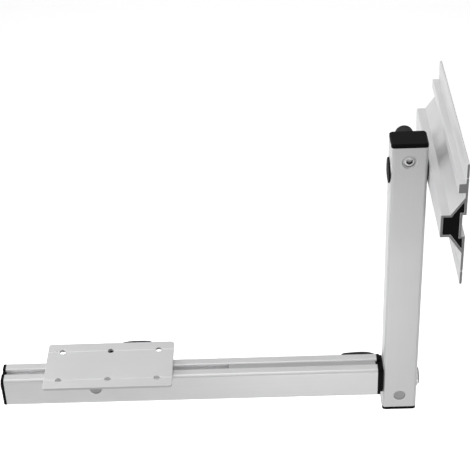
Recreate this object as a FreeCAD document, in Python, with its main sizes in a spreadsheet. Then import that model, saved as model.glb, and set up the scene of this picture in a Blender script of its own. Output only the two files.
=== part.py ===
import FreeCAD, Part
import Sketcher
import math
import os

# Swivel table leg: a wall rail, a post that swings on it, an arm that turns at the
# post's foot and a table plate that swivels on the arm. Each swivel is a shaft in a
# split block, which a lever across the tube pinches shut.
#
# Frame, in millimetres: the origin lies on the wall plane, in the middle of the rail's
# upper rear land. +X points into the wall, +Z is up, and -Y is the front.

os.makedirs("parts", exist_ok=True)
doc = FreeCAD.newDocument("swivel_table_leg")

VECTOR = FreeCAD.Vector
X_AXIS = VECTOR(1, 0, 0)
Y_AXIS = VECTOR(0, 1, 0)
Z_AXIS = VECTOR(0, 0, 1)

# Driving dimensions

DIMENSIONS = {
    # wall rail, heights measured from the pivot line
    "rail_length": 247.2,
    "rail_shift": 1.4,
    "rail_half_height": 82.8,
    "rail_depth": 29.3,
    "rail_wall": 3.0,
    "crown_half_height": 15.2,
    "crown_round": 1.2,
    "crown_depth": 10.8,
    "shoulder_half_height": 38.3,
    "flange_thickness": 3.0,
    "recess_half_height": 14.6,
    "recess_depth": 4.4,
    "rib_low": 44.3,
    "rib_high": 56.8,
    "rib_front": 10.9,
    "groove_height": 64.0,
    "groove_width": 2.4,
    "groove_depth": 0.9,
    "rail_plug_depth": 9.0,
    "rail_plug_inset": 0.4,
    "tip_round": 1.2,
    # post
    "post_width": 45.0,
    "post_depth": 34.0,
    "post_wall": 2.0,
    "post_corner": 4.0,
    "pivot_spacing": 329.0,
    "end_margin": 40.0,
    "post_cap_lip": 5.0,
    "post_cap_edge": 1.6,
    # arm
    "arm_length": 501.0,
    "arm_width": 38.0,
    "arm_height": 44.0,
    "arm_corner": 4.5,
    "arm_wall": 2.5,
    "slot_width": 8.4,
    "slot_mouth_round": 2.2,
    "slot_lip": 3.0,
    "slot_chamber_width": 18.0,
    "slot_chamber_depth": 6.0,
    "slot_floor": 2.0,
    "arm_cap_lip": 4.0,
    "arm_cap_edge": 1.0,
    "spacer_width": 35.0,
    "spacer_height": 38.0,
    "spacer_drop": 1.5,
    "spacer_corner": 3.0,
    "spacer_thickness": 3.3,
    "strip_length": 197.0,
    "strip_drop": 1.4,
    "strip_wall": 1.5,
    "strip_barb": 1.3,
    "strip_leg": 3.6,
    "end_block_length": 60.0,
    "cap_screw_diameter": 19.0,
    "cap_screw_height": 5.0,
    "slot_key_length": 2.0,
    # end caps
    "skirt_depth": 8.0,
    "skirt_wall": 2.2,
    "block_screw_spacing": 36.0,
    "block_screw_diameter": 6.0,
    "block_screw_head": 11.0,
    "block_screw_head_height": 2.0,
    "fit_gap": 0.1,
    "nut_roof": 2.6,
    "plug_sink": 0.9,
    # table plate
    "plate_length": 171.5,
    "plate_width": 92.0,
    "plate_thickness": 3.5,
    "plate_corner": 4.0,
    "plate_edge_round": 0.7,
    "plate_station": 141.5,
    "plate_hole_diameter": 8.5,
    "plate_hole_spacing": 130.8,
    "plate_row_spacing": 58.6,
    "plate_groove_width": 3.0,
    "plate_groove_depth": 0.9,
    "hub_flange_diameter": 38.0,
    "hub_flange_thickness": 2.8,
    "plate_washer_diameter": 36.0,
    "plate_washer_thickness": 1.6,
    # swivels
    "shaft_diameter": 20.0,
    "shaft_bevel": 0.8,
    "anchor_diameter": 16.0,
    "bore_clearance": 0.05,
    "hole_clearance": 0.4,
    "face_gap": 0.1,
    "block_height": 62.0,
    "slit_width": 2.0,
    "clamp_offset": 20.0,
    "arm_clamp_offset": 19.0,
    "washer_diameter": 28.0,
    "washer_thickness": 1.2,
    "disc_diameter": 32.0,
    "disc_rim": 1.2,
    "disc_height": 3.0,
    "disc_spigot_diameter": 10.0,
    "disc_spigot_length": 12.0,
    "retaining_washer_diameter": 28.0,
    "retaining_washer_thickness": 1.5,
    "retaining_head_diameter": 22.0,
    "retaining_head_height": 2.8,
    "retaining_head_rim": 0.9,
    "retaining_stem_length": 14.0,
    "bore_end_gap": 1.0,
    "rail_bolt_diameter": 10.0,
    "rail_bolt_reach": 24.0,
    "rail_bolt_head": 26.0,
    "rail_bolt_head_height": 3.4,
    "rail_bolt_corner": 3.0,
    "rail_sleeve_wall": 3.6,
    # clamp screws, nuts and levers
    "screw_diameter": 8.0,
    "nut_head_diameter": 14.4,
    "nut_head_height": 3.2,
    "nut_head_bevel": 0.8,
    "nut_barrel_diameter": 9.8,
    "nut_length": 13.0,
    "socket_width": 6.0,
    "socket_depth": 2.4,
    "nut_web": 2.0,
    "screw_tip_bevel": 1.0,
    "access_diameter": 15.5,
    "rim_bevel": 1.2,
    "lever_washer_thickness": 1.5,
    "lever_washer_diameter": 17.0,
    "hub_foot_diameter": 18.0,
    "hub_top_diameter": 23.0,
    "hub_height": 38.0,
    "hub_dome": 4.0,
    "hub_shoulder": 2.0,
    "insert_diameter": 12.0,
    "insert_length": 20.0,
    "lever_reach": 78.0,
    "root_gap": 1.2,
    "neck_reach": 24.0,
    "belly_reach": 56.0,
    "neck_width": 12.0,
    "neck_thickness": 9.0,
    "belly_width": 16.0,
    "belly_thickness": 11.5,
    "tip_width": 10.0,
    "tip_thickness": 7.0,
    "tip_round_length": 4.5,
    "root_rise": 26.5,
    "neck_rise": 32.5,
    "belly_rise": 44.5,
    "shoulder_width": 14.6,
    "shoulder_thickness": 10.4,
    "shoulder_rise": 46.7,
    "tip_rise": 46.9,
}


class Size:
    """A length that knows both its value and the expression that gives it."""

    def __init__(self, value, text):
        self.value = float(value)
        self.text = text

    @staticmethod
    def of(other):
        if isinstance(other, Size):
            return other
        return Size(other, repr(float(other)))

    def _join(self, other, sign, value):
        return Size(value, "(%s %s %s)" % (self.text, sign, Size.of(other).text))

    def __add__(self, other):
        return self._join(other, "+", self.value + Size.of(other).value)

    def __sub__(self, other):
        return self._join(other, "-", self.value - Size.of(other).value)

    def __mul__(self, other):
        return self._join(other, "*", self.value * Size.of(other).value)

    def __truediv__(self, other):
        return self._join(other, "/", self.value / Size.of(other).value)

    def __radd__(self, other):
        return Size.of(other) + self

    def __rsub__(self, other):
        return Size.of(other) - self

    def __rmul__(self, other):
        return Size.of(other) * self

    def __neg__(self):
        return Size(0, "0") - self

    def root(self):
        return Size(math.sqrt(self.value), "sqrt(%s)" % self.text)


ZERO = Size(0, "0")


def make_sheet():
    """Writes the driving dimensions and returns them as sizes, by name."""
    sheet = doc.addObject("Spreadsheet::Sheet", "Sizes")
    sizes = {}
    for row, (name, value) in enumerate(DIMENSIONS.items(), start=1):
        sheet.set("A%d" % row, name)
        sheet.set("B%d" % row, repr(value))
        sheet.setAlias("B%d" % row, name)
        sizes[name] = Size(value, "Sizes.%s" % name)
    doc.recompute()
    return sizes


class Sizes:
    """Gives each driving dimension as an attribute."""

    def __init__(self, table):
        self.__dict__.update(table)


S = Sizes(make_sheet())


def bind(target, path, size):
    """Ties a property to the expression of a size."""
    target.setExpression(path, Size.of(size).text)


# Bodies and sketches

def new_body(label, x=ZERO, y=ZERO, z=ZERO, axis=None, angle=0.0):
    """Makes an empty body at a place given by three sizes and one turn."""
    body = doc.addObject("PartDesign::Body", label)
    body.Label = label
    turn = FreeCAD.Rotation(axis, angle) if axis else FreeCAD.Rotation()
    body.Placement = FreeCAD.Placement(VECTOR(x.value, y.value, z.value), turn)
    bind(body, "Placement.Base.x", x)
    bind(body, "Placement.Base.y", y)
    bind(body, "Placement.Base.z", z)
    return body


def new_sketch(body, plane, name, lift=ZERO):
    """Attaches a sketch to an origin plane of its body, raised along the plane's normal."""
    sketch = body.newObject("Sketcher::SketchObject", name)
    role = plane + "_Plane"
    face = [item for item in body.Origin.OriginFeatures if item.Role == role][0]
    sketch.AttachmentSupport = (face, "")
    sketch.MapMode = "FlatFace"
    sketch.AttachmentOffset = FreeCAD.Placement(VECTOR(0, 0, lift.value), FreeCAD.Rotation())
    bind(sketch, "AttachmentOffset.Base.z", lift)
    return sketch


def fix(sketch, kind, *args):
    """Adds a constraint; where the last argument is a size, its expression drives it."""
    size = args[-1]
    if isinstance(size, Size):
        index = sketch.addConstraint(Sketcher.Constraint(kind, *args[:-1], size.value))
        bind(sketch, "Constraints[%d]" % index, size)
        return
    sketch.addConstraint(Sketcher.Constraint(kind, *args))


def fix_point(sketch, geometry, point, x, y):
    """Holds one point of a sketch at its two coordinates."""
    fix(sketch, "DistanceX", geometry, point, Size.of(x))
    fix(sketch, "DistanceY", geometry, point, Size.of(y))


def draw_polygon(sketch, points):
    """Draws a closed outline of straight lines through points given as pairs of sizes."""
    spots = [(Size.of(x), Size.of(y)) for x, y in points]
    corners = [VECTOR(x.value, y.value, 0) for x, y in spots]
    count = len(corners)
    first = sketch.GeometryCount
    for index, corner in enumerate(corners):
        sketch.addGeometry(Part.LineSegment(corner, corners[(index + 1) % count]))
    for index, (x, y) in enumerate(spots):
        following = first + (index + 1) % count
        sketch.addConstraint(Sketcher.Constraint("Coincident", first + index, 2, following, 1))
        fix_point(sketch, first + index, 1, x, y)


def draw_rectangle(sketch, width, height, x=ZERO, y=ZERO):
    """Draws a sharp rectangle about a centre."""
    left, right = x - width / 2, x + width / 2
    low, high = y - height / 2, y + height / 2
    draw_polygon(sketch, [(left, low), (right, low), (right, high), (left, high)])


def draw_circle(sketch, radius, x=ZERO, y=ZERO):
    """Draws a circle about a centre."""
    centre = VECTOR(x.value, y.value, 0)
    index = sketch.addGeometry(Part.Circle(centre, Z_AXIS, radius.value))
    fix_point(sketch, index, 3, x, y)
    fix(sketch, "Radius", index, radius)


def draw_rounded(sketch, width, height, radius, x=ZERO, y=ZERO):
    """Draws a rectangle with round corners about a centre."""
    left, right = (x - width / 2).value, (x + width / 2).value
    low, high = (y - height / 2).value, (y + height / 2).value
    r = radius.value
    corner_spots = [(right - r, low + r, -90), (right - r, high - r, 0),
                    (left + r, high - r, 90), (left + r, low + r, 180)]
    line_spots = [(left + r, low, right - r, low), (right, low + r, right, high - r),
                  (right - r, high, left + r, high), (left, high - r, left, low + r)]
    lines, arcs = [], []
    for (x0, y0, x1, y1), (cx, cy, start) in zip(line_spots, corner_spots):
        lines.append(sketch.addGeometry(Part.LineSegment(VECTOR(x0, y0, 0), VECTOR(x1, y1, 0))))
        circle = Part.Circle(VECTOR(cx, cy, 0), Z_AXIS, r)
        begin = math.radians(start)
        arcs.append(sketch.addGeometry(Part.ArcOfCircle(circle, begin, begin + math.pi / 2)))
    for index in range(4):
        fix(sketch, "Tangent", lines[index], 2, arcs[index], 1)
        fix(sketch, "Tangent", arcs[index], 2, lines[(index + 1) % 4], 1)
        fix(sketch, "Horizontal" if index % 2 == 0 else "Vertical", lines[index])
        if index:
            fix(sketch, "Equal", arcs[0], arcs[index])
    fix(sketch, "Radius", arcs[0], radius)
    fix(sketch, "DistanceY", lines[0], 1, y - height / 2)
    fix(sketch, "DistanceX", lines[1], 1, x + width / 2)
    fix(sketch, "DistanceY", lines[2], 1, y + height / 2)
    fix(sketch, "DistanceX", lines[3], 1, x - width / 2)


def draw_octagon(sketch, width, height, trim, y):
    """Draws a rectangle with cut corners about a centre on the vertical axis."""
    side, top = width / 2, height / 2
    corners = [(side, top - trim), (side - trim, top)]
    right = [(x, -z) for x, z in reversed(corners)] + corners
    left = [(-x, z) for x, z in reversed(right)]
    draw_polygon(sketch, [(x, y + z) for x, z in right + left])


def sketch_feature(body, kind, name, sketch):
    """Adds a sketch-based feature to a body."""
    feature = body.newObject("PartDesign::" + kind, name)
    feature.Profile = sketch
    return feature


def pad(body, sketch, length, name, backwards=False):
    """Pads a sketch along its plane's normal, or against it."""
    feature = sketch_feature(body, "Pad", name, sketch)
    bind(feature, "Length", length)
    feature.Reversed = backwards
    doc.recompute()
    return feature


def cut(body, sketch, depth, name, forwards=False):
    """Pockets a sketch against its plane's normal, or along it, and proves that it cuts."""
    before = body.Tip.Shape.Volume
    feature = sketch_feature(body, "Pocket", name, sketch)
    bind(feature, "Length", depth)
    feature.Reversed = forwards
    doc.recompute()
    if not body.Tip.Shape.Volume < before - 1e-6:
        raise RuntimeError("%s removes nothing from %s" % (name, body.Label))
    return feature


def round_edges(body, radius, chosen, name):
    """Fillets the edges of the tip that a test picks."""
    tip = body.Tip
    names = ["Edge%d" % number for number, edge in enumerate(tip.Shape.Edges, start=1)
             if chosen(edge)]
    if not names:
        raise RuntimeError("%s finds no edge on %s" % (name, body.Label))
    feature = body.newObject("PartDesign::Fillet", name)
    feature.Base = (tip, names)
    bind(feature, "Radius", radius)
    doc.recompute()
    return feature


def bevel_edges(body, size, chosen, name):
    """Chamfers the edges of the tip that a test picks."""
    tip = body.Tip
    names = ["Edge%d" % number for number, edge in enumerate(tip.Shape.Edges, start=1)
             if chosen(edge)]
    if not names:
        raise RuntimeError("%s finds no edge on %s" % (name, body.Label))
    feature = body.newObject("PartDesign::Chamfer", name)
    feature.Base = (tip, names)
    bind(feature, "Size", size)
    doc.recompute()
    return feature


def turned(label, outline, x=ZERO, y=ZERO, z=ZERO, axis=None, angle=0.0):
    """Makes a turned piece from (radius, height) points about the body's own Z axis."""
    body = new_body(label, x, y, z, axis, angle)
    sketch = new_sketch(body, "XZ", label + "_outline")
    draw_polygon(sketch, outline)
    feature = sketch_feature(body, "Revolution", label + "_turned", sketch)
    feature.ReferenceAxis = (sketch, ["V_Axis"])
    feature.Angle = 360.0
    doc.recompute()
    return body


def along_x(body_from):
    """The turn that lays a body's Z axis along +X, or along -X."""
    return (Y_AXIS, 90.0) if body_from > 0 else (Y_AXIS, -90.0)


TOWARDS_FRONT = (X_AXIS, 90.0)
TOWARDS_BACK = (X_AXIS, -90.0)


def edge_at(edge, axis, value):
    """Tells whether every end of an edge has one coordinate."""
    low = getattr(edge.BoundBox, axis + "Min")
    high = getattr(edge.BoundBox, axis + "Max")
    return abs(low - value.value) < 1e-3 and abs(high - value.value) < 1e-3


# Stations, worked out from the dimensions

half = 0.5
pivot_upper = -(S.recess_half_height + S.rail_half_height) * half
pivot_lower = pivot_upper - S.pivot_spacing
crown_face = -S.rail_depth
post_right = crown_face - S.washer_thickness - 2 * S.face_gap
post_left = post_right - S.post_width
post_middle = post_right - S.post_width * half
arm_right = post_left - 2 * S.face_gap - S.spacer_thickness - S.arm_cap_lip
arm_left = arm_right - S.arm_length
chamber_top = S.arm_height - S.slot_lip - S.slot_chamber_depth - S.slot_floor
arm_pivot_height = (S.arm_wall + chamber_top) * half
arm_bottom = pivot_lower - arm_pivot_height
arm_top = arm_bottom + S.arm_height
arm_middle = arm_bottom + S.arm_height * half
plate_x = arm_left + S.plate_station
arm_clamp_x = plate_x - S.arm_clamp_offset
arm_clamp_height = chamber_top - S.nut_roof - S.fit_gap - S.nut_barrel_diameter * half
arm_clamp_z = arm_bottom + arm_clamp_height
plate_seat = arm_top + S.face_gap + S.plate_washer_thickness
plate_bottom = plate_seat + S.hub_flange_thickness
upper_clamp_z = pivot_upper + S.clamp_offset
lower_clamp_z = pivot_lower - S.clamp_offset
post_bottom = pivot_lower - S.end_margin
post_length = S.pivot_spacing + 2 * S.end_margin
post_top = post_bottom + post_length
shaft_radius = S.shaft_diameter * half
shaft_hole_radius = shaft_radius + S.hole_clearance
screw_radius = S.screw_diameter * half
screw_hole_radius = screw_radius + S.hole_clearance
bore_radius = shaft_radius + S.bore_clearance
stem_bore_depth = S.retaining_stem_length + S.bore_end_gap
anchor_depth = S.end_block_length * 3 / 4


# Wall rail and what is fixed to it

def rail_outline():
    """Outer section of the rail, as (depth, height) points from the pivot line."""
    front = -S.rail_depth
    slope_foot = front + S.crown_depth
    flange = -S.flange_thickness
    notch = S.groove_width * half
    upper = [
        (front, S.crown_half_height),
        (slope_foot, S.crown_half_height),
        (flange, S.shoulder_half_height),
        (flange, S.rib_low),
        (-S.rib_front, S.rib_low),
        (-S.rib_front, S.rib_high),
        (flange, S.rib_high),
    ]
    grooved = [
        (flange, S.groove_height - notch),
        (flange + S.groove_depth, S.groove_height),
        (flange, S.groove_height + notch),
        (flange, S.rail_half_height),
        (ZERO, S.rail_half_height),
        (ZERO, S.groove_height + notch),
        (-S.groove_depth, S.groove_height),
        (ZERO, S.groove_height - notch),
        (ZERO, S.recess_half_height),
        (-S.recess_depth, S.recess_half_height),
    ]
    mirrored = [(x, -z) for x, z in reversed(upper[:3] + grooved)]
    return upper + grooved + mirrored


def rail_hollow(inset):
    """Inner section of the rail, drawn in by a clearance."""
    wall = S.rail_wall + inset
    front = -S.rail_depth
    slope_foot = front + S.crown_depth
    lean = (-S.flange_thickness - slope_foot) / (S.shoulder_half_height - S.crown_half_height)
    shift = wall * (lean * lean + 1).root()
    rear = -wall
    side = S.crown_half_height - wall
    step = S.recess_half_height + wall
    top = S.crown_half_height + (rear - slope_foot - shift) / lean
    upper = [
        (front + wall, side),
        (slope_foot + shift - lean * wall, side),
        (rear, top),
        (rear, step),
        (-S.recess_depth - wall, step),
    ]
    return upper + [(x, -z) for x, z in reversed(upper)]


def make_wall_rail():
    body = new_body("wall_rail", ZERO, ZERO, pivot_upper)
    far = S.rail_length * half - S.rail_shift
    outline = new_sketch(body, "XZ", "rail_section", -far)
    draw_polygon(outline, rail_outline())
    pad(body, outline, S.rail_length, "rail_extrusion")
    hollow = new_sketch(body, "XZ", "rail_hollow", -far)
    draw_polygon(hollow, rail_hollow(ZERO))
    cut(body, hollow, S.rail_length, "rail_chamber", forwards=True)
    bore = new_sketch(body, "YZ", "rail_bolt_hole")
    draw_circle(bore, S.rail_bolt_diameter * half + S.hole_clearance)
    cut(body, bore, S.rail_depth, "rail_bolt_passage")
    round_edges(body, S.tip_round, lambda edge: runs_at(edge, S.rail_half_height),
                "rail_tip_rounds")
    round_edges(body, S.crown_round,
                lambda edge: runs_at(edge, S.crown_half_height)
                and edge_at(edge, "X", crown_face), "rail_crown_rounds")
    return body


def runs_at(edge, height):
    """Tells whether an edge runs along the rail at a height above or below its middle."""
    level = edge_at(edge, "Z", height) or edge_at(edge, "Z", -height)
    return level and edge.BoundBox.YLength > 1


def make_rail_plug(label, end):
    """Black insert that closes one end of the rail's chamber; end is -1 front, +1 rear."""
    body = new_body(label, ZERO, ZERO, pivot_upper)
    outer = S.rail_length * half - S.rail_plug_inset
    start = S.rail_shift - outer if end > 0 else S.rail_shift + outer - S.rail_plug_depth
    sketch = new_sketch(body, "XZ", label + "_section", start)
    draw_polygon(sketch, rail_hollow(S.fit_gap))
    pad(body, sketch, S.rail_plug_depth, label + "_block")
    return body


def make_rail_bolt():
    """Low square head in the rail's rear recess, with a shank up to the pivot shaft."""
    seat = -S.recess_depth
    body = new_body("rail_bolt", ZERO, ZERO, pivot_upper)
    head = new_sketch(body, "YZ", "rail_bolt_head", seat)
    draw_rounded(head, S.rail_bolt_head, S.rail_bolt_head, S.rail_bolt_corner)
    pad(body, head, S.rail_bolt_head_height, "rail_bolt_square")
    shank = new_sketch(body, "YZ", "rail_bolt_section", seat)
    draw_circle(shank, S.rail_bolt_diameter * half)
    reach = S.rail_depth - S.recess_depth + S.rail_bolt_reach
    pad(body, shank, reach, "rail_bolt_shank", backwards=True)
    return body


def make_rail_sleeve():
    """Spacer inside the rail that keeps the bolt from crushing the crown."""
    low = crown_face + S.rail_wall
    length = S.rail_depth - S.recess_depth - 2 * S.rail_wall
    inner = S.rail_bolt_diameter * half + S.hole_clearance
    outer = inner + S.rail_sleeve_wall
    outline = [(inner, ZERO), (outer, ZERO), (outer, length), (inner, length)]
    return turned("rail_spacer_sleeve", outline, low, ZERO, pivot_upper, *along_x(1))


def make_upper_shaft():
    """Shaft on the crown of the rail, bored for the rail's bolt and for the cap's spigot."""
    length = crown_face - post_left
    bolt = S.rail_bolt_diameter * half
    bolt_bore = S.rail_bolt_reach + S.bore_end_gap
    spigot = S.disc_spigot_diameter * half
    spigot_bore = S.disc_spigot_length + S.bore_end_gap
    bevel = S.shaft_bevel
    return turned("upper_pivot_shaft", [
        (bolt, ZERO),
        (shaft_radius, ZERO),
        (shaft_radius, length - bevel),
        (shaft_radius - bevel, length),
        (spigot, length),
        (spigot, length - spigot_bore),
        (ZERO, length - spigot_bore),
        (ZERO, bolt_bore),
        (bolt, bolt_bore),
    ], crown_face, ZERO, pivot_upper, *along_x(-1))


def ring(label, inner, outer, thickness, x, y, z, axis, angle):
    """Flat ring whose lower face is at its own origin."""
    outline = [(inner, ZERO), (outer, ZERO), (outer, thickness), (inner, thickness)]
    return turned(label, outline, x, y, z, axis, angle)


def make_upper_washer():
    inner = shaft_radius + S.fit_gap
    return ring("upper_thrust_washer", inner, S.washer_diameter * half, S.washer_thickness,
                crown_face, ZERO, pivot_upper, *along_x(-1))


def domed_piece(label, radius, rim, height, stem, reach, x, y, z, axis, angle):
    """Disc with a crowned face and a stem behind it; its rear face is at its own origin."""
    rise = height - rim
    return turned(label, [
        (ZERO, height),
        (ZERO, -reach),
        (stem, -reach),
        (stem, ZERO),
        (radius, ZERO),
        (radius, rim),
        (radius * half, height - rise / 4),
    ], x, y, z, axis, angle)


def make_upper_cap():
    """Black domed disc pressed into the end of the upper shaft."""
    return domed_piece("upper_pivot_cap", S.disc_diameter * half, S.disc_rim, S.disc_height,
                       S.disc_spigot_diameter * half, S.disc_spigot_length,
                       post_left - S.face_gap, ZERO, pivot_upper, *along_x(-1))


def retain(prefix, x, y, z, axis, angle):
    """Washer and low domed bolt that hold a shaft; the shaft's end is at the given place."""
    ring(prefix + "_retaining_washer", screw_radius + S.fit_gap,
         S.retaining_washer_diameter * half, S.retaining_washer_thickness, x, y, z, axis, angle)
    normal = FreeCAD.Rotation(axis, angle).multVec(Z_AXIS)
    lift = S.retaining_washer_thickness
    seat = [place + lift * round(part) for place, part in zip((x, y, z), normal)]
    domed_piece(prefix + "_retaining_bolt", S.retaining_head_diameter * half,
                S.retaining_head_rim, S.retaining_head_height, screw_radius,
                S.retaining_stem_length + lift, *seat, axis, angle)


# Post

def make_post_tube():
    body = new_body("post_tube", post_middle, ZERO, post_bottom)
    outer = new_sketch(body, "XY", "post_section")
    draw_rounded(outer, S.post_width, S.post_depth, S.post_corner)
    pad(body, outer, post_length, "post_extrusion")
    inner = new_sketch(body, "XY", "post_hollow")
    draw_rounded(inner, S.post_width - 2 * S.post_wall, S.post_depth - 2 * S.post_wall,
                 S.post_corner - S.post_wall)
    cut(body, inner, post_length, "post_chamber", forwards=True)
    across = new_sketch(body, "YZ", "pivot_holes", S.post_width * half)
    for height in (S.end_margin, S.end_margin + S.pivot_spacing):
        draw_circle(across, shaft_hole_radius, ZERO, height)
    cut(body, across, S.post_width, "pivot_passages")
    heights = (S.end_margin - S.clamp_offset, S.end_margin + S.pivot_spacing + S.clamp_offset)
    front = new_sketch(body, "XZ", "access_holes", S.post_depth * half)
    for height in heights:
        draw_circle(front, S.access_diameter * half, ZERO, height)
    cut(body, front, S.post_wall, "access_openings")
    rear = new_sketch(body, "XZ", "lever_holes", -S.post_depth * half)
    for height in heights:
        draw_circle(rear, screw_hole_radius, ZERO, height)
    cut(body, rear, S.post_wall, "lever_openings", forwards=True)
    top_hole = heights[1]
    bevel_edges(body, S.rim_bevel,
                lambda edge: edge_at(edge, "Y", -S.post_depth * half)
                and abs(edge.BoundBox.Center.z - top_hole.value) < 1
                and edge.BoundBox.XLength < S.access_diameter.value + 1,
                "top_rim_bevel")
    return body


def tube_cap(label, width, depth, corner, wall, lip, z, axis, angle):
    """Plastic end cap: a lip as wide as the tube and a hollow skirt that plugs it."""
    body = new_body(label, post_middle, ZERO, z, axis, angle)
    face = new_sketch(body, "XY", label + "_face")
    draw_rounded(face, width, depth, corner)
    pad(body, face, lip, label + "_lip")
    play = 2 * (wall + S.fit_gap)
    skirt = new_sketch(body, "XY", label + "_skirt")
    draw_rounded(skirt, width - play, depth - play, corner - wall)
    pad(body, skirt, S.skirt_depth, label + "_plug", backwards=True)
    hollow = new_sketch(body, "XY", label + "_hollow", -S.skirt_depth)
    inset = play + 2 * S.skirt_wall
    draw_rectangle(hollow, width - inset, depth - inset)
    cut(body, hollow, S.skirt_depth, label + "_chamber", forwards=True)
    bevel_edges(body, S.post_cap_edge, lambda edge: edge_at(edge, "Z", lip), label + "_edge")
    return body


def make_post_caps():
    sizes = (S.post_width, S.post_depth, S.post_corner, S.post_wall, S.post_cap_lip)
    tube_cap("post_top_cap", *sizes, post_top, None, 0.0)
    tube_cap("post_bottom_cap", *sizes, post_bottom, X_AXIS, 180.0)


def post_block(label, pivot, clamp_side):
    """Split block that fills the post round one pivot; clamp_side is +1 above, -1 below."""
    gap = 2 * (S.post_wall + S.fit_gap)
    width = S.post_width - gap
    depth = S.post_depth - gap
    body = new_body(label, post_middle, ZERO, pivot)
    bolt_height = clamp_side * S.clamp_offset
    high = S.end_margin - S.skirt_depth - 2 * S.face_gap
    low = S.block_height - high
    outline = new_sketch(body, "XY", label + "_section", -low if clamp_side > 0 else -high)
    draw_rounded(outline, width, depth, S.post_corner - S.post_wall)
    pad(body, outline, S.block_height, label + "_block")
    bore = new_sketch(body, "YZ", label + "_bore", width * half)
    draw_circle(bore, bore_radius)
    cut(body, bore, width, label + "_shaft_bore")
    slit = new_sketch(body, "YZ", label + "_slit", width * half)
    middle = clamp_side * (high * half + S.slit_width)
    draw_rectangle(slit, S.slit_width, high + 2 * S.slit_width, ZERO, middle)
    cut(body, slit, width, label + "_split")
    drill_for_clamp(body, label, depth, ZERO, bolt_height)
    return body


def drill_for_clamp(body, label, depth, x, z):
    """Drills a block for its nut at the front and its lever screw at the rear."""
    seat = new_sketch(body, "XZ", label + "_nut_seat", depth * half)
    draw_circle(seat, S.nut_head_diameter * half + S.fit_gap, x, z)
    cut(body, seat, S.nut_head_height, label + "_counterbore")
    barrel = new_sketch(body, "XZ", label + "_nut_hole", depth * half)
    draw_circle(barrel, S.nut_barrel_diameter * half + S.fit_gap, x, z)
    cut(body, barrel, S.nut_length + S.nut_web, label + "_nut_bore")
    through = new_sketch(body, "XZ", label + "_screw_hole", depth * half)
    draw_circle(through, screw_hole_radius, x, z)
    cut(body, through, depth, label + "_screw_bore")


def clamp_nut(label, x, front, z):
    """Sleeve nut with a hexagon socket in a slightly domed head; its thread is plain here."""
    body = new_body(label, x, front, z, *TOWARDS_FRONT)
    head = S.nut_head_diameter * half
    barrel = S.nut_barrel_diameter * half
    thread = screw_radius + S.bore_clearance
    shoulder = -S.nut_head_height
    bevel = S.nut_head_bevel
    sketch = new_sketch(body, "XZ", label + "_outline")
    web = S.socket_depth + S.nut_web
    draw_polygon(sketch, [
        (ZERO, ZERO),
        (head - 2 * bevel, ZERO),
        (head, -bevel),
        (head, shoulder),
        (barrel, shoulder),
        (barrel, -S.nut_length),
        (thread, -S.nut_length),
        (thread, -web),
        (ZERO, -web),
    ])
    feature = sketch_feature(body, "Revolution", label + "_turned", sketch)
    feature.ReferenceAxis = (sketch, ["V_Axis"])
    feature.Angle = 360.0
    doc.recompute()
    socket = new_sketch(body, "XY", label + "_socket")
    corner = S.socket_width / Size(3, "3").root()
    flat = S.socket_width * half
    draw_polygon(socket, [
        (corner, ZERO),
        (corner * half, flat),
        (-corner * half, flat),
        (-corner, ZERO),
        (-corner * half, -flat),
        (corner * half, -flat),
    ])
    cut(body, socket, S.socket_depth, label + "_hexagon")
    return body


def hole_plug(label, x, wall_face, z, wall):
    """Grey disc that closes an access hole, set a little back from the tube's face."""
    outer = S.access_diameter * half - S.fit_gap
    sink = S.plug_sink
    outline = [
        (ZERO, -sink),
        (outer - S.hole_clearance, -sink),
        (outer, -sink - S.hole_clearance),
        (outer, -wall + S.fit_gap),
        (ZERO, -wall + S.fit_gap),
    ]
    return turned(label, outline, x, wall_face, z, *TOWARDS_FRONT)


# Clamping levers

def lever_handle(label, x, back, z, heading):
    """Moulded handle: a conical hub on the screw and a grip that rises away from it."""
    turn = FreeCAD.Rotation(*TOWARDS_BACK).multiply(FreeCAD.Rotation(Z_AXIS, heading))
    body = new_body(label, x, back, z)
    body.Placement.Rotation = turn
    hub = new_sketch(body, "XZ", label + "_hub")
    base = S.lever_washer_thickness + S.face_gap
    foot = S.hub_foot_diameter * half
    top = S.hub_top_diameter * half
    high = S.hub_height
    crown = high + S.hub_dome * half
    bore = S.insert_diameter * half
    floor = base + S.insert_length
    draw_polygon(hub, [
        (bore, base),
        (foot, base),
        (top, high - S.hub_dome),
        (top - S.hub_shoulder, high),
        (ZERO, crown),
        (ZERO, floor),
        (bore, floor),
    ])
    feature = sketch_feature(body, "Revolution", label + "_hub_turned", hub)
    feature.ReferenceAxis = (hub, ["V_Axis"])
    feature.Angle = 360.0
    doc.recompute()
    sections = [
        ("root", bore + S.root_gap, S.neck_width, S.neck_thickness, S.root_rise),
        ("neck", S.neck_reach, S.neck_width, S.neck_thickness, S.neck_rise),
        ("belly", S.belly_reach, S.belly_width, S.belly_thickness, S.belly_rise),
        ("shoulder", S.lever_reach - S.tip_round_length, S.shoulder_width,
         S.shoulder_thickness, S.shoulder_rise),
        ("tip", S.lever_reach, S.tip_width, S.tip_thickness, S.tip_rise),
    ]
    sketches = []
    for name, reach, width, thickness, rise in sections:
        sketch = new_sketch(body, "YZ", "%s_%s" % (label, name), reach)
        draw_octagon(sketch, width, thickness, thickness / 3, rise)
        sketches.append(sketch)
    doc.recompute()
    grip = body.newObject("PartDesign::AdditiveLoft", label + "_grip")
    grip.Profile = sketches[0]
    grip.Sections = sketches[1:]
    grip.Ruled = True
    doc.recompute()
    return body


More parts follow.
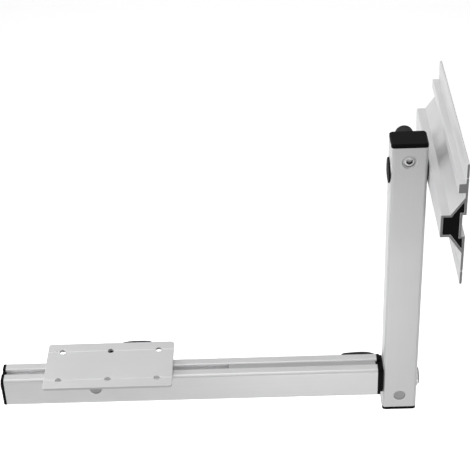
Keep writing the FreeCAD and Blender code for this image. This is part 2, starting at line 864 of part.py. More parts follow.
def lever_screw(label, x, back, z, depth):
    """Steel insert with its screw: the shoulder sits in the hub, the screw in the nut."""
    base = S.lever_washer_thickness + S.face_gap
    shoulder = S.insert_diameter * half
    bite = S.nut_length - S.socket_depth - 2 * S.nut_web
    reach = depth - S.nut_length + bite
    tip = S.screw_tip_bevel
    outline = [
        (ZERO, base + S.insert_length),
        (shoulder, base + S.insert_length),
        (shoulder, base),
        (screw_radius, base),
        (screw_radius, -reach + tip),
        (screw_radius - tip, -reach),
        (ZERO, -reach),
    ]
    return turned(label, outline, x, back, z, *TOWARDS_BACK)


def make_lever(prefix, x, back, z, heading, depth):
    """One clamping lever with its screw and washer; heading turns the grip about the screw."""
    lever_handle(prefix + "_lever_handle", x, back, z, heading)
    lever_screw(prefix + "_lever_screw", x, back, z, depth)
    ring(prefix + "_lever_washer", screw_radius + S.fit_gap, S.lever_washer_diameter * half,
         S.lever_washer_thickness, x, back + S.face_gap, z, *TOWARDS_BACK)


# Arm

def slot_outline():
    """Section of the slot: a wide channel under the lips and a mouth through them."""
    under = S.arm_height * half - S.slot_lip
    low = under - S.slot_chamber_depth
    high = S.arm_height * half + S.slot_lip
    channel = S.slot_chamber_width * half
    mouth = S.slot_width * half
    return [(-channel, low), (channel, low), (channel, under), (mouth, under),
            (mouth, high), (-mouth, high), (-mouth, under), (-channel, under)]


def chamber_outline(inset):
    """Section of the main chamber, with a cheek on each side of the slot's channel."""
    low = S.arm_wall - S.arm_height * half + inset
    roof = chamber_top - S.arm_height * half - inset
    high = S.arm_height * half - S.arm_wall - inset
    outer = S.arm_width * half - S.arm_wall - inset
    inner = S.slot_chamber_width * half + S.slot_floor + inset
    return [(-outer, low), (outer, low), (outer, high), (inner, high),
            (inner, roof), (-inner, roof), (-inner, high), (-outer, high)]


def make_arm_profile():
    body = new_body("arm_profile", arm_left, ZERO, arm_middle)
    outer = new_sketch(body, "YZ", "arm_section")
    draw_rounded(outer, S.arm_width, S.arm_height, S.arm_corner)
    pad(body, outer, S.arm_length, "arm_extrusion")
    slot = new_sketch(body, "YZ", "arm_slot_section")
    draw_polygon(slot, slot_outline())
    cut(body, slot, S.arm_length, "arm_slot", forwards=True)
    brink = S.slot_width.value / 2 + 0.001
    round_edges(body, S.slot_mouth_round,
                lambda edge: edge_at(edge, "Z", S.arm_height * half)
                and abs(edge.BoundBox.Center.y) < brink
                and edge.BoundBox.XLength > 1, "arm_slot_rounds")
    chamber = new_sketch(body, "YZ", "arm_chamber_section")
    draw_polygon(chamber, chamber_outline(ZERO))
    cut(body, chamber, S.arm_length, "arm_chamber", forwards=True)
    shaft = new_sketch(body, "XY", "plate_shaft_hole", S.arm_height * half)
    draw_circle(shaft, shaft_hole_radius, S.plate_station, ZERO)
    cut(body, shaft, S.arm_height, "plate_shaft_passage")
    clamp_z = arm_clamp_height - S.arm_height * half
    clamp_x = S.plate_station - S.arm_clamp_offset
    front = new_sketch(body, "XZ", "arm_access_hole", S.arm_width * half)
    draw_circle(front, S.access_diameter * half, clamp_x, clamp_z)
    cut(body, front, S.arm_wall, "arm_access_opening")
    rear = new_sketch(body, "XZ", "arm_lever_hole", -S.arm_width * half)
    draw_circle(rear, screw_hole_radius, clamp_x, clamp_z)
    cut(body, rear, S.arm_wall, "arm_lever_opening", forwards=True)
    under = new_sketch(body, "XY", "end_block_screw_holes", -S.arm_height * half)
    for station in end_block_screw_stations():
        draw_circle(under, S.block_screw_diameter * half + S.fit_gap, station, ZERO)
    cut(body, under, S.arm_wall, "end_block_screw_openings", forwards=True)
    return body


def end_block_screw_stations():
    """Places of the two screws that hold the end block, from the arm's left end."""
    middle = S.arm_length - S.skirt_depth - S.end_block_length * half
    return (middle - S.block_screw_spacing * half, middle + S.block_screw_spacing * half)


def arm_cap(label, x, axis, angle, radius, drop):
    """End cap of the arm, notched at the slot and bored for what passes through it."""
    body = new_body(label, x, ZERO, arm_middle, axis, angle)
    face = new_sketch(body, "YZ", label + "_face")
    draw_rounded(face, S.arm_width, S.arm_height, S.arm_corner)
    pad(body, face, S.arm_cap_lip, label + "_lip")
    skirt = new_sketch(body, "YZ", label + "_skirt")
    draw_polygon(skirt, chamber_outline(S.fit_gap))
    pad(body, skirt, S.skirt_depth, label + "_plug", backwards=True)
    key = new_sketch(body, "YZ", label + "_key")
    under = S.arm_height * half - S.slot_lip - S.fit_gap
    height = S.slot_chamber_depth - 2 * S.fit_gap
    draw_rectangle(key, S.slot_chamber_width - 2 * S.fit_gap, height, ZERO, under - height * half)
    pad(body, key, S.slot_key_length, label + "_slot_key", backwards=True)
    notch = new_sketch(body, "YZ", label + "_notch", S.arm_cap_lip)
    draw_rectangle(notch, S.slot_width, 2 * S.slot_lip, ZERO, S.arm_height * half)
    cut(body, notch, S.arm_cap_lip, label + "_slot_notch")
    bore = new_sketch(body, "YZ", label + "_bore", S.arm_cap_lip)
    draw_circle(bore, radius, ZERO, drop)
    cut(body, bore, S.arm_cap_lip + S.skirt_depth, label + "_passage")
    bevel_edges(body, S.arm_cap_edge,
                lambda edge: edge_at(edge, "X", S.arm_cap_lip) and on_arm_outline(edge),
                label + "_edge")
    return body


def on_arm_outline(edge):
    """Tells whether an edge lies on the arm's outer section, away from its slot."""
    centre = edge.BoundBox.Center
    side = (S.arm_width * half - S.arm_corner).value
    top = (S.arm_height * half - S.arm_corner).value
    in_notch = abs(centre.y) <= S.slot_width.value / 2 + 0.001 and centre.z > 0
    return (abs(centre.y) > side or abs(centre.z) > top) and not in_notch


def make_cap_screw():
    """Domed black screw in the middle of the left cap."""
    head = S.cap_screw_diameter * half
    rise = S.cap_screw_height
    grip = S.arm_cap_lip + S.skirt_depth
    slopes = [math.radians(degrees) for degrees in (67.5, 45.0, 22.5)]
    crown = [(head * math.cos(slope), rise * math.sin(slope)) for slope in slopes]
    stem = [(head, ZERO), (screw_radius, ZERO), (screw_radius, -grip), (ZERO, -grip)]
    return turned("arm_cap_screw", [(ZERO, rise)] + crown + stem,
                  arm_left - S.arm_cap_lip, ZERO, arm_middle, *along_x(-1))


def make_spacer():
    body = new_body("arm_spacer", arm_right + S.arm_cap_lip, ZERO, pivot_lower)
    face = new_sketch(body, "YZ", "spacer_section")
    lift = arm_top - S.spacer_drop - S.spacer_height * half - pivot_lower
    draw_rounded(face, S.spacer_width, S.spacer_height, S.spacer_corner, ZERO, lift)
    pad(body, face, S.spacer_thickness, "spacer_block")
    bore = new_sketch(body, "YZ", "spacer_bore", S.spacer_thickness)
    draw_circle(bore, shaft_radius + S.fit_gap)
    cut(body, bore, S.spacer_thickness, "spacer_passage")
    return body


def arm_block(label, left, length):
    """Plain block that fills the arm's chamber and both cheeks over a length."""
    body = new_body(label, left, ZERO, arm_middle)
    outline = new_sketch(body, "YZ", label + "_section")
    draw_polygon(outline, chamber_outline(S.fit_gap))
    pad(body, outline, length, label + "_block")
    return body


def make_end_block():
    left = arm_right - S.skirt_depth - S.fit_gap - S.end_block_length
    body = arm_block("arm_end_block", left, S.end_block_length)
    bore = new_sketch(body, "YZ", "anchor_bore", S.end_block_length)
    draw_circle(bore, S.anchor_diameter * half, ZERO, pivot_lower - arm_middle)
    cut(body, bore, anchor_depth + S.bore_end_gap, "anchor_socket")
    thread = new_sketch(body, "XY", "end_block_threads", arm_bottom - arm_middle)
    for station in end_block_screw_stations():
        draw_circle(thread, S.block_screw_diameter * half, station + arm_left - left, ZERO)
    depth = arm_pivot_height - S.anchor_diameter * half - S.fit_gap
    cut(body, thread, depth, "end_block_taps", forwards=True)
    return body


def make_end_block_screw(label, station):
    """Low-headed screw that comes up through the arm's underside into the end block."""
    head = S.block_screw_head * half
    stem = S.block_screw_diameter * half
    rise = S.block_screw_head_height
    reach = arm_pivot_height - S.anchor_diameter * half - 2 * S.fit_gap
    return turned(label, [
        (ZERO, -rise),
        (head - rise * half, -rise),
        (head, -rise * half),
        (head, ZERO),
        (stem, ZERO),
        (stem, reach),
        (ZERO, reach),
    ], arm_left + station, ZERO, arm_bottom)


def make_lower_shaft():
    """Stepped shaft: the thin end is anchored in the arm, the thick end runs in the post."""
    anchor = S.anchor_diameter * half
    inner = arm_right - S.skirt_depth - S.fit_gap
    length = post_right + S.face_gap - inner
    bevel = S.shaft_bevel
    return turned("lower_pivot_shaft", [
        (ZERO, -anchor_depth),
        (anchor - bevel, -anchor_depth),
        (anchor, bevel - anchor_depth),
        (anchor, ZERO),
        (shaft_radius, ZERO),
        (shaft_radius, length - bevel),
        (shaft_radius - bevel, length),
        (screw_radius, length),
        (screw_radius, length - stem_bore_depth),
        (ZERO, length - stem_bore_depth),
    ], inner, ZERO, pivot_lower, *along_x(1))


def make_arm_clamp_block():
    """Split block in the arm for the plate's shaft."""
    left = plate_x - S.block_height * half - S.slit_width
    body = arm_block("arm_clamp_block", left, S.block_height)
    station = plate_x - left
    top = S.arm_height * half
    bore = new_sketch(body, "XY", "plate_bore", top)
    draw_circle(bore, bore_radius, station, ZERO)
    cut(body, bore, S.arm_height, "plate_shaft_bore")
    slit = new_sketch(body, "XY", "arm_block_slit", top)
    draw_rectangle(slit, station + S.slit_width, S.slit_width, (station - S.slit_width) * half)
    cut(body, slit, S.arm_height, "arm_block_split")
    width = S.arm_width - 2 * (S.arm_wall + S.fit_gap)
    drill_for_clamp(body, "arm_block", width, arm_clamp_x - left, arm_clamp_z - arm_middle)
    return body


def make_slot_strip():
    """Snap-in strip that covers the slot, its two legs barbed under the slot's lips."""
    left = arm_right - S.slot_key_length - S.fit_gap - S.strip_length
    body = new_body("slot_strip", left, ZERO, arm_middle)
    high = S.arm_height * half - S.strip_drop
    under = S.arm_height * half - S.slot_lip
    foot = under - S.strip_leg
    mouth = S.slot_width * half - S.fit_gap
    barb = mouth + S.strip_barb
    inner = mouth - S.strip_wall
    right = [
        (mouth, high),
        (mouth, under),
        (barb, under),
        (mouth, foot),
        (inner, foot),
        (inner, high - S.strip_wall),
    ]
    sketch = new_sketch(body, "YZ", "strip_section")
    draw_polygon(sketch, right + [(-y, z) for y, z in reversed(right)])
    pad(body, sketch, S.strip_length, "strip_extrusion")
    return body


# Table plate

def make_plate():
    body = new_body("mounting_plate", plate_x, ZERO, plate_bottom)
    outline = new_sketch(body, "XY", "plate_outline")
    draw_rounded(outline, S.plate_length, S.plate_width, S.plate_corner)
    pad(body, outline, S.plate_thickness, "plate_sheet")
    row = S.plate_row_spacing * half
    holes = new_sketch(body, "XY", "plate_holes", S.plate_thickness)
    for side in (-1, 1):
        for step in (-1, 0, 1):
            draw_circle(holes, S.plate_hole_diameter * half,
                        step * S.plate_hole_spacing * half, side * row)
    cut(body, holes, S.plate_thickness, "plate_drilling")
    grooves = new_sketch(body, "YZ", "plate_groove_section", S.plate_length * half)
    flank = S.plate_groove_width * half
    for side in (-1, 1):
        draw_polygon(grooves, [
            (side * row - flank, S.plate_thickness),
            (side * row, S.plate_thickness - S.plate_groove_depth),
            (side * row + flank, S.plate_thickness),
        ])
    cut(body, grooves, S.plate_length, "plate_grooves")
    side = S.plate_width * half
    round_edges(body, S.plate_edge_round,
                lambda edge: edge_at(edge, "Z", S.plate_thickness)
                and (edge_at(edge, "Y", side) or edge_at(edge, "Y", -side)),
                "plate_edge_rounds")
    return body


def make_plate_hub():
    """Flange under the plate with the shaft that runs in the arm's split block."""
    length = plate_bottom - arm_bottom + S.face_gap
    flange = S.hub_flange_diameter * half
    bevel = S.shaft_bevel
    return turned("plate_hub", [
        (ZERO, ZERO),
        (flange, ZERO),
        (flange, S.hub_flange_thickness),
        (shaft_radius, S.hub_flange_thickness),
        (shaft_radius, length - bevel),
        (shaft_radius - bevel, length),
        (screw_radius, length),
        (screw_radius, length - stem_bore_depth),
        (ZERO, length - stem_bore_depth),
    ], plate_x, ZERO, plate_bottom, X_AXIS, 180.0)


def make_plate_washer():
    return ring("plate_thrust_washer", shaft_radius + S.fit_gap, S.plate_washer_diameter * half,
                S.plate_washer_thickness, plate_x, ZERO, arm_top + S.face_gap, None, 0.0)


# Assembly

def make_all():
    make_wall_rail()
    make_rail_plug("rail_plug_front", -1)
    make_rail_plug("rail_plug_rear", 1)
    make_rail_bolt()
    make_rail_sleeve()
    make_upper_shaft()
    make_upper_washer()
    make_upper_cap()

    make_post_tube()
    make_post_caps()
    post_block("upper_clamp_block", pivot_upper, 1)
    post_block("lower_clamp_block", pivot_lower, -1)
    block_front = -(S.post_depth * half - S.post_wall - S.fit_gap)
    clamp_nut("upper_clamp_nut", post_middle, block_front, upper_clamp_z)
    clamp_nut("lower_clamp_nut", post_middle, block_front, lower_clamp_z)
    hole_plug("lower_hole_plug", post_middle, -S.post_depth * half, lower_clamp_z, S.post_wall)
    post_back = S.post_depth * half
    screw_depth = post_back - block_front
    make_lever("upper", post_middle, post_back, upper_clamp_z, 90.0, screw_depth)
    make_lever("lower", post_middle, post_back, lower_clamp_z, 180.0, screw_depth)

    make_arm_profile()
    arm_cap("arm_left_cap", arm_left, Z_AXIS, 180.0, screw_radius, ZERO)
    arm_cap("arm_right_cap", arm_right, None, 0.0, shaft_radius + S.fit_gap,
            pivot_lower - arm_middle)
    make_cap_screw()
    make_spacer()
    make_end_block()
    for side, station in zip(("left", "right"), end_block_screw_stations()):
        make_end_block_screw("arm_block_screw_" + side, station)
    make_lower_shaft()
    retain("lower", post_right + S.face_gap, ZERO, pivot_lower, *along_x(1))
    make_arm_clamp_block()
    arm_front = -(S.arm_width * half - S.arm_wall - S.fit_gap)
    clamp_nut("arm_clamp_nut", arm_clamp_x, arm_front, arm_clamp_z)
    hole_plug("arm_hole_plug", arm_clamp_x, -S.arm_width * half, arm_clamp_z, S.arm_wall)
    make_slot_strip()
    arm_back = S.arm_width * half
    make_lever("arm", arm_clamp_x, arm_back, arm_clamp_z, 0.0, arm_back - arm_front)

    make_plate()
    make_plate_hub()
    make_plate_washer()
    retain("plate", plate_x, ZERO, arm_bottom - S.face_gap, X_AXIS, 180.0)


def check_and_export():
    """Stops on any broken object, then writes each sub-part to its own file."""
    doc.recompute()
    for item in doc.Objects:
        if "Invalid" in item.State or "Error" in item.State:
            raise RuntimeError("%s is not valid: %s" % (item.Label, item.State))
    parts = [item for item in doc.Objects if item.isDerivedFrom("PartDesign::Body")]
    for item in parts:
        shape = item.Shape
        if not shape.isValid() or shape.Volume <= 0:
            raise RuntimeError("%s has no valid solid" % item.Label)
        shape.exportStep("parts/%s.step" % item.Label)
    print("%d sub-parts written" % len(parts))


make_all()
check_and_export()
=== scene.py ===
"""Dresses the swivel table leg: rail, post, arm, plate, clamping levers, light and camera."""

import logging
import math
from collections.abc import Sequence
from dataclasses import dataclass
from enum import Enum

import bmesh
import bpy
import numpy as np
from mathutils import Matrix, Vector
from mathutils.geometry import tessellate_polygon


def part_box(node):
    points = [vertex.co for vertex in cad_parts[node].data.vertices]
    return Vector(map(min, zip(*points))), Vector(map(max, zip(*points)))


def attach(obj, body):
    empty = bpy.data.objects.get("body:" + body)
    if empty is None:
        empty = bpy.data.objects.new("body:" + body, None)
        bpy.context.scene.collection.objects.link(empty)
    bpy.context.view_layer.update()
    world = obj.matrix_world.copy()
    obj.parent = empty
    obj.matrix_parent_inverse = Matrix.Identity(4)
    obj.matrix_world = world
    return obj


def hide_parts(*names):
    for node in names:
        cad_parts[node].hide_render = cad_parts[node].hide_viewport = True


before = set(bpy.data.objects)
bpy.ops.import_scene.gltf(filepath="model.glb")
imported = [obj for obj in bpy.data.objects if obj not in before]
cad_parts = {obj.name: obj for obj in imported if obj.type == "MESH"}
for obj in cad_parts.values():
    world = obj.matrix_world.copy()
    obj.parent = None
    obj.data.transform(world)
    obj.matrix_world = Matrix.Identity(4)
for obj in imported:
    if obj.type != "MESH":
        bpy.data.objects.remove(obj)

MM = 0.001
ORIGIN = (0.0, 0.0, 0.0)
LOG = logging.getLogger("table_leg")
Array = np.ndarray


# Places read from the frame

@dataclass(frozen=True)
class Span:
    """The box of a CAD node in millimetres."""

    low: Array
    high: Array

    @staticmethod
    def of(node: str) -> "Span":
        """Reads the box of one node."""
        low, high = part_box(node)
        return Span(np.array(low) / MM, np.array(high) / MM)

    @property
    def middle(self) -> Array:
        """Centre of the box."""
        return (self.low + self.high) / 2

    @property
    def size(self) -> Array:
        """Lengths of the box's sides."""
        return self.high - self.low


class Along(Enum):
    """Axis of the frame that a grain runs along or turns about."""

    X = 0
    Y = 1
    Z = 2


class Facing(Enum):
    """Directions that a turned or stacked piece may face, as (u, v, w) axes in the frame."""

    LEFT = ((0, -1, 0), (0, 0, 1), (-1, 0, 0))
    RIGHT = ((0, 1, 0), (0, 0, 1), (1, 0, 0))
    FRONT = ((1, 0, 0), (0, 0, 1), (0, -1, 0))
    BACK = ((-1, 0, 0), (0, 0, 1), (0, 1, 0))
    UP = ((1, 0, 0), (0, 1, 0), (0, 0, 1))
    DOWN = ((1, 0, 0), (0, -1, 0), (0, 0, -1))

    @property
    def axes(self) -> Array:
        """The three axes as rows."""
        return np.array(self.value, float)

    @property
    def axis(self) -> int:
        """Number of the frame's axis that w lies along."""
        return int(np.argmax(np.abs(self.axes[2])))


# Surfaces

@dataclass
class Shell:
    """Points and faces of one closed or open surface, in millimetres."""

    points: Array
    faces: list[Sequence[int]]

    @staticmethod
    def joined(shells: Sequence["Shell"]) -> "Shell":
        """Puts several shells into one.

        Args:
            shells: the shells, in the order in which their points follow one another.

        Returns:
            The one shell.
        """
        faces: list[Sequence[int]] = []
        start = 0
        for shell in shells:
            faces += [tuple(index + start for index in face) for face in shell.faces]
            start += len(shell.points)
        return Shell(np.vstack([shell.points for shell in shells]), faces)

    def placed(self, facing: Facing, origin: Sequence[float]) -> "Shell":
        """The same shell with its local (u, v, w) origin and axes carried into the frame."""
        return Shell(self.points @ facing.axes + np.asarray(origin, float), self.faces)


def rounded_loop(corners: Array, radii: Array | float, steps: int = 6) -> Array:
    """Rounds the corners of a closed outline.

    Each corner gives way to an arc that touches both of its sides: the arc starts at the
    distance radius / tan(half the corner's angle) along each side, and its centre lies on
    the corner's bisector.

    Args:
        corners: corner points, one a row.
        radii: one radius for all corners, or one for each.
        steps: points on each arc.

    Returns:
        Points of the rounded outline.
    """
    corners = np.asarray(corners, float)
    radii = np.broadcast_to(np.asarray(radii, float), len(corners))
    before = np.roll(corners, 1, axis=0) - corners
    after = np.roll(corners, -1, axis=0) - corners
    before /= np.linalg.norm(before, axis=1, keepdims=True)
    after /= np.linalg.norm(after, axis=1, keepdims=True)
    half = np.arccos(np.clip((before * after).sum(1), -1, 1)) / 2
    along = (radii / np.tan(half))[:, None]
    start, stop = corners + before * along, corners + after * along
    bisector = before + after
    bisector /= np.linalg.norm(bisector, axis=1, keepdims=True)
    centre = corners + bisector * (radii / np.sin(half))[:, None]
    first, last = start - centre, stop - centre
    share = np.linspace(0, 1, steps)[None, :, None]
    swing = (math.pi - 2 * half)[:, None, None]
    weight_first = np.sin((1 - share) * swing) / np.sin(swing)
    weight_last = np.sin(share * swing) / np.sin(swing)
    arc = centre[:, None] + weight_first * first[:, None] + weight_last * last[:, None]
    return arc.reshape(-1, 2)


def softened(corners: Array, steps: int) -> Array:
    """Rounds an outline whose rows are (u, v, radius)."""
    return rounded_loop(corners[:, :2], corners[:, 2], steps)


def mirrored(half: Sequence[tuple[float, float, float]], steps: int) -> Array:
    """Rounded outline of (u, v, radius) corners on one side of u = 0 and their mirror image."""
    right = np.array(half, float)
    return softened(np.vstack([right, right[::-1] * [-1, 1, 1]]), steps)


def rectangle(width: float, height: float) -> Array:
    """Corners of a rectangle about the origin."""
    return np.array([[-1, -1], [1, -1], [1, 1], [-1, 1]]) * [width / 2, height / 2]


def circle(radius: float, count: int) -> Array:
    """Points of a circle about the origin."""
    turn = np.arange(count) * 2 * math.pi / count
    return radius * np.column_stack([np.cos(turn), np.sin(turn)])


def hexagon(across: float, count: int) -> Array:
    """Points of a hexagon: the radius is half the width over the cosine to the next flat.

    Args:
        across: width over the flats.
        count: points on the outline.

    Returns:
        The points, in the order and the directions of a circle's.
    """
    turn = np.arange(count) * 2 * math.pi / count
    offset = (turn + math.pi / 6) % (math.pi / 3) - math.pi / 6
    return circle(across / 2, count) / np.cos(offset)[:, None]


def shrink_loop(loop: Array, inset: float) -> Array:
    """Draws an outline in along its own normals, each the mean of its two sides' normals.

    Args:
        loop: points of the outline, turning left.
        inset: how far each side moves in.

    Returns:
        Points of the smaller outline.
    """
    ahead = np.roll(loop, -1, axis=0) - loop
    behind = loop - np.roll(loop, 1, axis=0)
    ahead /= np.maximum(np.linalg.norm(ahead, axis=1, keepdims=True), 1e-9)
    behind /= np.maximum(np.linalg.norm(behind, axis=1, keepdims=True), 1e-9)
    tangent = ahead + behind
    tangent /= np.maximum(np.linalg.norm(tangent, axis=1, keepdims=True), 1e-9)
    inward = np.column_stack([-tangent[:, 1], tangent[:, 0]])
    cosine = np.clip((tangent * ahead).sum(1, keepdims=True), 0.5, 1)
    return loop + inward * inset / cosine


def skin(rings: Array, close_start: bool = True, close_end: bool = True) -> Shell:
    """Surface over a grid of rings: the first parameter runs along, the second around.

    Args:
        rings: array of rings by points by three coordinates.
        close_start: closes the first ring with a fan to its middle.
        close_end: closes the last ring the same way.

    Returns:
        The shell.
    """
    count, around = rings.shape[:2]
    index = np.arange(count * around).reshape(count, around)
    beside = np.roll(index, -1, axis=1)
    quads = np.stack([index[:-1], beside[:-1], beside[1:], index[1:]], axis=-1)
    points, faces = [rings.reshape(-1, 3)], quads.reshape(-1, 4).tolist()
    for closed, place, ring, following in ((close_start, 0, beside[0], index[0]),
                                           (close_end, -1, index[-1], beside[-1])):
        if closed:
            middle = np.full(around, count * around + len(points) - 1)
            points.append(rings[place].mean(axis=0, keepdims=True))
            faces += np.column_stack([ring, following, middle]).tolist()
    return Shell(np.vstack(points), faces)


def turned(profile: Array, segments: int = 96, ring: bool = False) -> Shell:
    """Surface of revolution: (radius, height) points turned about the local w axis.

    Args:
        profile: the points, from pole to pole.
        segments: steps of the turn.
        ring: the points are a closed section that stays clear of the axis.

    Returns:
        The shell.
    """
    profile = np.asarray(profile, float)
    if ring:
        profile = np.vstack([profile, profile[:1]])
    rings = np.empty((len(profile), segments, 3))
    rings[:, :, :2] = profile[:, 0, None, None] * circle(1.0, segments)
    rings[:, :, 2] = profile[:, 1, None]
    return skin(rings, not ring, not ring)


def oriented(loop: Array, clockwise: bool) -> Array:
    """Turns an outline's order round where the sign of its area asks for it.

    Args:
        loop: points of the outline.
        clockwise: the order that it gets.

    Returns:
        The same points in that order.
    """
    ahead = np.roll(loop, -1, axis=0)
    area = (loop[:, 0] * ahead[:, 1] - loop[:, 1] * ahead[:, 0]).sum()
    return loop[::-1] if (area < 0) != clockwise else loop


def broken(start: float, stop: float, edge: float = 0.15) -> Array:
    """Layers of a straight extrusion with small chamfers, as (inset, station) rows."""
    return np.array([(edge, start), (0.0, start + edge), (0.0, stop - edge), (edge, stop)])


def bevelled(start: float, stop: float, bevel: float, near: float = 0.2) -> Array:
    """Layers of an extrusion with a softened bevel at its far edge.

    The bevel's two corners are each cut again by a seventh of its width.

    Args:
        start: station of the near end.
        stop: station of the far end.
        bevel: width of the far bevel.
        near: chamfer of the near edge.

    Returns:
        The layers, as (inset, station) rows.
    """
    soft = bevel / 7
    return np.array([
        (near, start), (0.0, start + near), (0.0, stop - bevel - soft),
        (soft * 0.7, stop - bevel + soft * 0.3), (bevel - soft * 0.3, stop - soft * 0.7),
        (bevel + soft, stop)])


def eased(start: float, stop: float, radius: float, steps: int = 6) -> Array:
    """Layers of an extrusion whose far edge is a quarter round.

    Over the round, the inset is the radius times one minus the cosine, and the station
    climbs by the radius times the sine.

    Args:
        start: station of the near end.
        stop: station of the far end.
        radius: radius of the round.
        steps: layers of the round.

    Returns:
        The layers, as (inset, station) rows.
    """
    turn = np.linspace(0, math.pi / 2, steps)
    inset = radius * (1 - np.cos(turn))
    station = stop - radius + radius * np.sin(turn)
    return np.vstack([[(0.0, start)], np.column_stack([inset, station])])


def extruded(loops: Sequence[Array], layers: Array) -> Shell:
    """Straight extrusion of an outline with any holes, through a row of layers.

    Each loop is carried through the layers. In each it is drawn in by the layer's inset,
    outwards for a hole, and the first and the last layer are filled between the loops.

    Args:
        loops: the outer outline, then each hole.
        layers: (inset, station along w) rows.

    Returns:
        The shell, as (u, v, w) points.
    """
    ordered = [oriented(loop, index > 0) for index, loop in enumerate(loops)]
    shells = []
    for loop in ordered:
        rings = np.empty((len(layers), len(loop), 3))
        for ring, (inset, station) in zip(rings, layers):
            ring[:, :2] = shrink_loop(loop, inset)
            ring[:, 2] = station
        shells.append(skin(rings, False, False))
    for (inset, station), last in ((layers[0], False), (layers[-1], True)):
        ends = [shrink_loop(loop, inset) for loop in ordered]
        flat = [[Vector((*point, 0)) for point in end.tolist()] for end in ends]
        points = np.vstack(ends)
        faces = [tuple(face) if last else tuple(face)[::-1] for face in tessellate_polygon(flat)]
        shells.append(Shell(np.column_stack([points, np.full(len(points), station)]), faces))
    return Shell.joined(shells)


def pillow(width: float, height: float, radius: float, layers: Array, crown: float,
           inner: int = 8) -> Shell:
    """Block over a rounded rectangle, built of layers, with a crowned top.

    A layer is a ring of the rectangle drawn in by its inset, at its height. Past the last
    layer the ring shrinks to the middle, and rises by the crown times one minus the square
    of its share.

    Args:
        width: width of the rectangle.
        height: its height.
        radius: its corner radius.
        layers: (inset, w) rows from the foot to the top edge.
        crown: how far the middle of the top stands above its edge.
        inner: rings between the top edge and the middle.

    Returns:
        The shell, as (u, v, w) points.
    """
    rings = []
    for inset, level in layers.tolist():
        corner = max(radius - inset, 0.3)
        loop = rounded_loop(rectangle(width - 2 * inset, height - 2 * inset), corner, 9)
        rings.append(np.column_stack([loop, np.full(len(loop), level)]))
    share = np.linspace(1, 0.04, inner)[1:, None, None]
    top = rings[-1] * np.where(np.arange(3) < 2, share, 1)
    top[:, :, 2] += crown * (1 - share[:, :, 0] ** 2)
    return skin(np.array([*rings, *top]))


# Objects

def linked(name: str, data: bpy.types.ID) -> bpy.types.Object:
    """Makes an object of a mesh, a lamp or a camera and links it to the scene.

    Args:
        name: the object's name.
        data: what it holds.

    Returns:
        The object.
    """
    made = bpy.data.objects.new(name, data)
    bpy.context.scene.collection.objects.link(made)
    return made


def make_object(name: str, shell: Shell) -> bpy.types.Object:
    """Makes a mesh object of a shell, in metres, with doubles merged and normals outwards.

    Args:
        name: the object's name.
        shell: its surface, in millimetres, in the frame.

    Returns:
        The linked object.
    """
    mesh = bpy.data.meshes.new(name)
    mesh.from_pydata((shell.points * MM).tolist(), [], shell.faces)
    work = bmesh.new()
    work.from_mesh(mesh)
    bmesh.ops.remove_doubles(work, verts=work.verts, dist=1e-7)
    bmesh.ops.dissolve_degenerate(work, edges=work.edges, dist=1e-8)
    bmesh.ops.recalc_face_normals(work, faces=work.faces)
    work.to_mesh(mesh)
    work.free()
    return linked(name, mesh)


def bake_modifiers(target: bpy.types.Object) -> None:
    """Puts the evaluated mesh of an object in place of its mesh and modifiers.

    Args:
        target: the object with the modifiers.
    """
    graph = bpy.context.evaluated_depsgraph_get()
    made = bpy.data.meshes.new_from_object(target.evaluated_get(graph))
    target.modifiers.clear()
    target.data = made


def carve(target: bpy.types.Object, cutters: Sequence[Shell]) -> None:
    """Cuts closed shells out of an object with an exact boolean.

    Args:
        target: the object that is cut.
        cutters: what is taken away, in the frame.
    """
    tool = make_object(target.name + "_cutter", Shell.joined(cutters))
    cut = target.modifiers.new("cut", "BOOLEAN")
    cut.operation = "DIFFERENCE"
    cut.solver = "EXACT"
    cut.object = tool
    bpy.context.view_layer.update()
    bake_modifiers(target)
    bpy.data.objects.remove(tool)


def drill(radius: float, rim: float, depth: float = 4.0) -> Shell:
    """Cutter for a hole whose mouth lies on w = 0 and is broken by the rim.

    Turned from its axis out: a plug of the radius down to the depth, widening by the rim
    over the last rim of height, and going on at that slope above the mouth.

    Args:
        radius: radius of the hole.
        rim: width and depth of its chamfer.
        depth: how far down it cuts.

    Returns:
        The shell, as (u, v, w) points.
    """
    profile = [(0, -depth), (radius, -depth), (radius, -rim), (radius + rim, 0),
               (radius + 2 * rim, rim), (0, rim)]
    return turned(profile, 64)


def smooth_by_angle(target: bpy.types.Object, degrees: float = 32.0) -> None:
    """Shades an object smooth below an angle and keeps flat faces even.

    Args:
        target: the object.
        degrees: the angle past which an edge stays sharp.
    """
    mesh = target.data
    mesh.shade_smooth()
    mesh.set_sharp_from_angle(angle=math.radians(degrees))
    modifier = target.modifiers.new("weighted_normals", "WEIGHTED_NORMAL")
    modifier.keep_sharp = True


# Finishes

class Grain(Enum):
    """The fine surface that a finish carries, and its texture's scale.

    DRAWN is lines along an extrusion, TURNED the rings left by a lathe, MOULDED a
    spark-eroded grain, and SANDED a short even one.
    """

    DRAWN = 1400.0
    TURNED = 900.0
    MOULDED = 2600.0
    SANDED = 5200.0


STRETCH = 0.004       # scale along a drawn line against the scale across it
CLOUD_SCALE = 14.0    # scale of the slow variation
BUMP_DEPTH = 0.05     # in millimetres
SMOOTHER = 0.9        # factors of the roughness at the two ends of the variation
ROUGHER = 1.12


